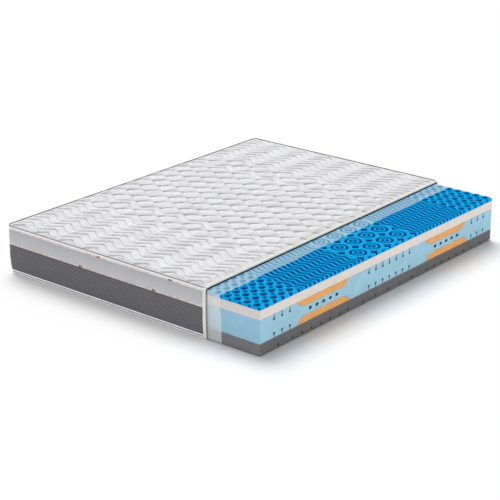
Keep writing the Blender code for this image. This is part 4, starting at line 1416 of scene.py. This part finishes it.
# Lengths in metres, angles in degrees, suns' strengths in watts a square metre, powers in watts
FLOOR_REACH = 40.0
FLOOR_Z = -0.0006
FLOOR_WHITE = 0.95
WASH_STRENGTH = 2.16
WASH_ANGLE = 37
WORLD_STRENGTH = 0.48
KEY_FROM = (-0.87, 0.50, 0.54)
KEY_ANGLE = 10
KEY_STRENGTH = 3.5
CORE_KEY_STRENGTH = 2.8
# How the names of the pieces under the core's key begin, and of those by the floor that base_fill lights
CORE_PIECES = ("film_liner", "memory_foam", "base_foam", "core_foam", "comfort_foam", "foot_", "head_")
LOW_PIECES = ("upper_welt", "lower_welt", "lower_tape", "upper_tape", "zip_coil", "base_foam")
BASE_POWER = 80.0
SIDE_POWER = 75.0
FOOT_POWER = 36.0
WARM = (1.0, 0.93, 0.80)
COOL = (0.87, 0.95, 1.0)


def build_floor():
    """A plain pale floor that stays white away from the mattress."""
    mesh = bpy.data.meshes.new("floor")
    corners = [(x * FLOOR_REACH, y * FLOOR_REACH, FLOOR_Z) for x, y in ((-1, -1), (1, -1), (1, 1), (-1, 1))]
    mesh.from_pydata(corners, [], [(0, 1, 2, 3)])
    floor = add_object("floor", mesh)
    colour = (FLOOR_WHITE, FLOOR_WHITE, FLOOR_WHITE, 1)
    white = Nodes("floor", 0.9, Base_Color=colour, Specular_IOR_Level=0.0)
    mesh.materials.append(white.material)
    return floor


def sun(name, towards, strength, degrees):
    """A distant lamp in the direction towards, as wide in the sky as degrees."""
    data = bpy.data.lights.new(name, "SUN")
    data.energy = strength
    data.angle = math.radians(degrees)
    lamp = add_object(name, data)
    lamp.matrix_world = Vector(towards).to_track_quat("Z", "Y").to_matrix().to_4x4()
    return lamp


def area_light(name, place, target, size, power, colour=(1, 1, 1)):
    """A rectangular lamp at place that faces target."""
    data = bpy.data.lights.new(name, "AREA")
    data.shape = "RECTANGLE"
    data.size, data.size_y = size
    data.energy = power
    data.color = colour
    lamp = add_object(name, data)
    way = Vector(target) - Vector(place)
    lamp.matrix_world = Matrix.Translation(place) @ way.to_track_quat("-Z", "Y").to_matrix().to_4x4()
    return lamp


def light_group(name, things, lamps, left_out=False):
    """Makes the lamps light these things only, or everything but them."""
    group = bpy.data.collections.new(name)
    for thing in things:
        group.objects.link(thing)
    for lamp in lamps:
        lamp.light_linking.receiver_collection = group
    for item in group.collection_objects if left_out else ():
        item.light_linking.link_state = "EXCLUDE"
    return group


def build_lights(floor):
    """White surroundings, two keys, three fills and a wash for the floor.

    The core has a key of its own that only the core itself can shade.
    """
    world = bpy.context.scene.world or bpy.data.worlds.new("studio")
    bpy.context.scene.world = world
    world.use_nodes = True
    back = world.node_tree.nodes["Background"]
    back.inputs["Color"].default_value = (1.0, 1.0, 1.0, 1.0)
    back.inputs["Strength"].default_value = WORLD_STRENGTH
    meshes = [thing for thing in bpy.context.scene.objects if thing.type == "MESH"]
    quilt, core, low = (
        [thing for thing in meshes if thing.name.startswith(names)]
        for names in (("quilt",), CORE_PIECES, LOW_PIECES)
    )
    core_key = sun("core_key", KEY_FROM, CORE_KEY_STRENGTH, KEY_ANGLE)
    core_key.light_linking.blocker_collection = light_group("core_pieces", core, [core_key])
    light_group("not_lit_by_key", [floor, *core], [sun("key", KEY_FROM, KEY_STRENGTH, KEY_ANGLE)], True)
    light_group("not_filled", [floor, *quilt], [
        area_light("side_fill", (5.5, 0.4, 1.2), (0.4, 0, 0.1), (4.0, 2.0), SIDE_POWER, WARM),
        area_light("foot_fill", (-0.4, -6.0, 1.2), (0, -0.6, 0.1), (4.0, 2.0), FOOT_POWER, COOL),
    ], True)
    light_group("low_pieces", low, [
        area_light("base_fill", (-0.4, -6.0, 0.25), (0, -0.95, 0.03), (4.0, 0.5), BASE_POWER),
    ])
    light_group("only_floor", [floor], [sun("floor_wash", (-0.53, 0.287, 1.0), WASH_STRENGTH, WASH_ANGLE)])


def build_camera():
    """Focal length, place and angles as in the photo."""
    data = bpy.data.cameras.new("camera")
    data.sensor_width = 36.0
    data.lens = 110.716
    data.clip_end = 60.0
    camera = add_object("camera", data)
    yaw, pitch, roll = (math.radians(angle) for angle in (-40.110, 20.782, -0.369))
    forward = Vector((math.cos(pitch) * math.sin(yaw), math.cos(pitch) * math.cos(yaw), -math.sin(pitch)))
    level = Vector((math.cos(yaw), -math.sin(yaw), 0))
    upward = level.cross(forward)
    right = math.cos(roll) * level + math.sin(roll) * upward
    top = -math.sin(roll) * level + math.cos(roll) * upward
    turn = Matrix((right, top, -forward)).transposed()
    camera.matrix_world = Matrix.Translation((4.6525, -5.5711, 2.7819)) @ turn.to_4x4()
    bpy.context.scene.camera = camera


build_foam()
build_memory_foam()
build_liner()
build_quilt()
build_border()
build_binding()
build_base_panel()
build_metal()
paint_hidden_nodes()
build_lights(build_floor())
build_camera()
bpy.context.scene.view_settings.view_transform = "Standard"
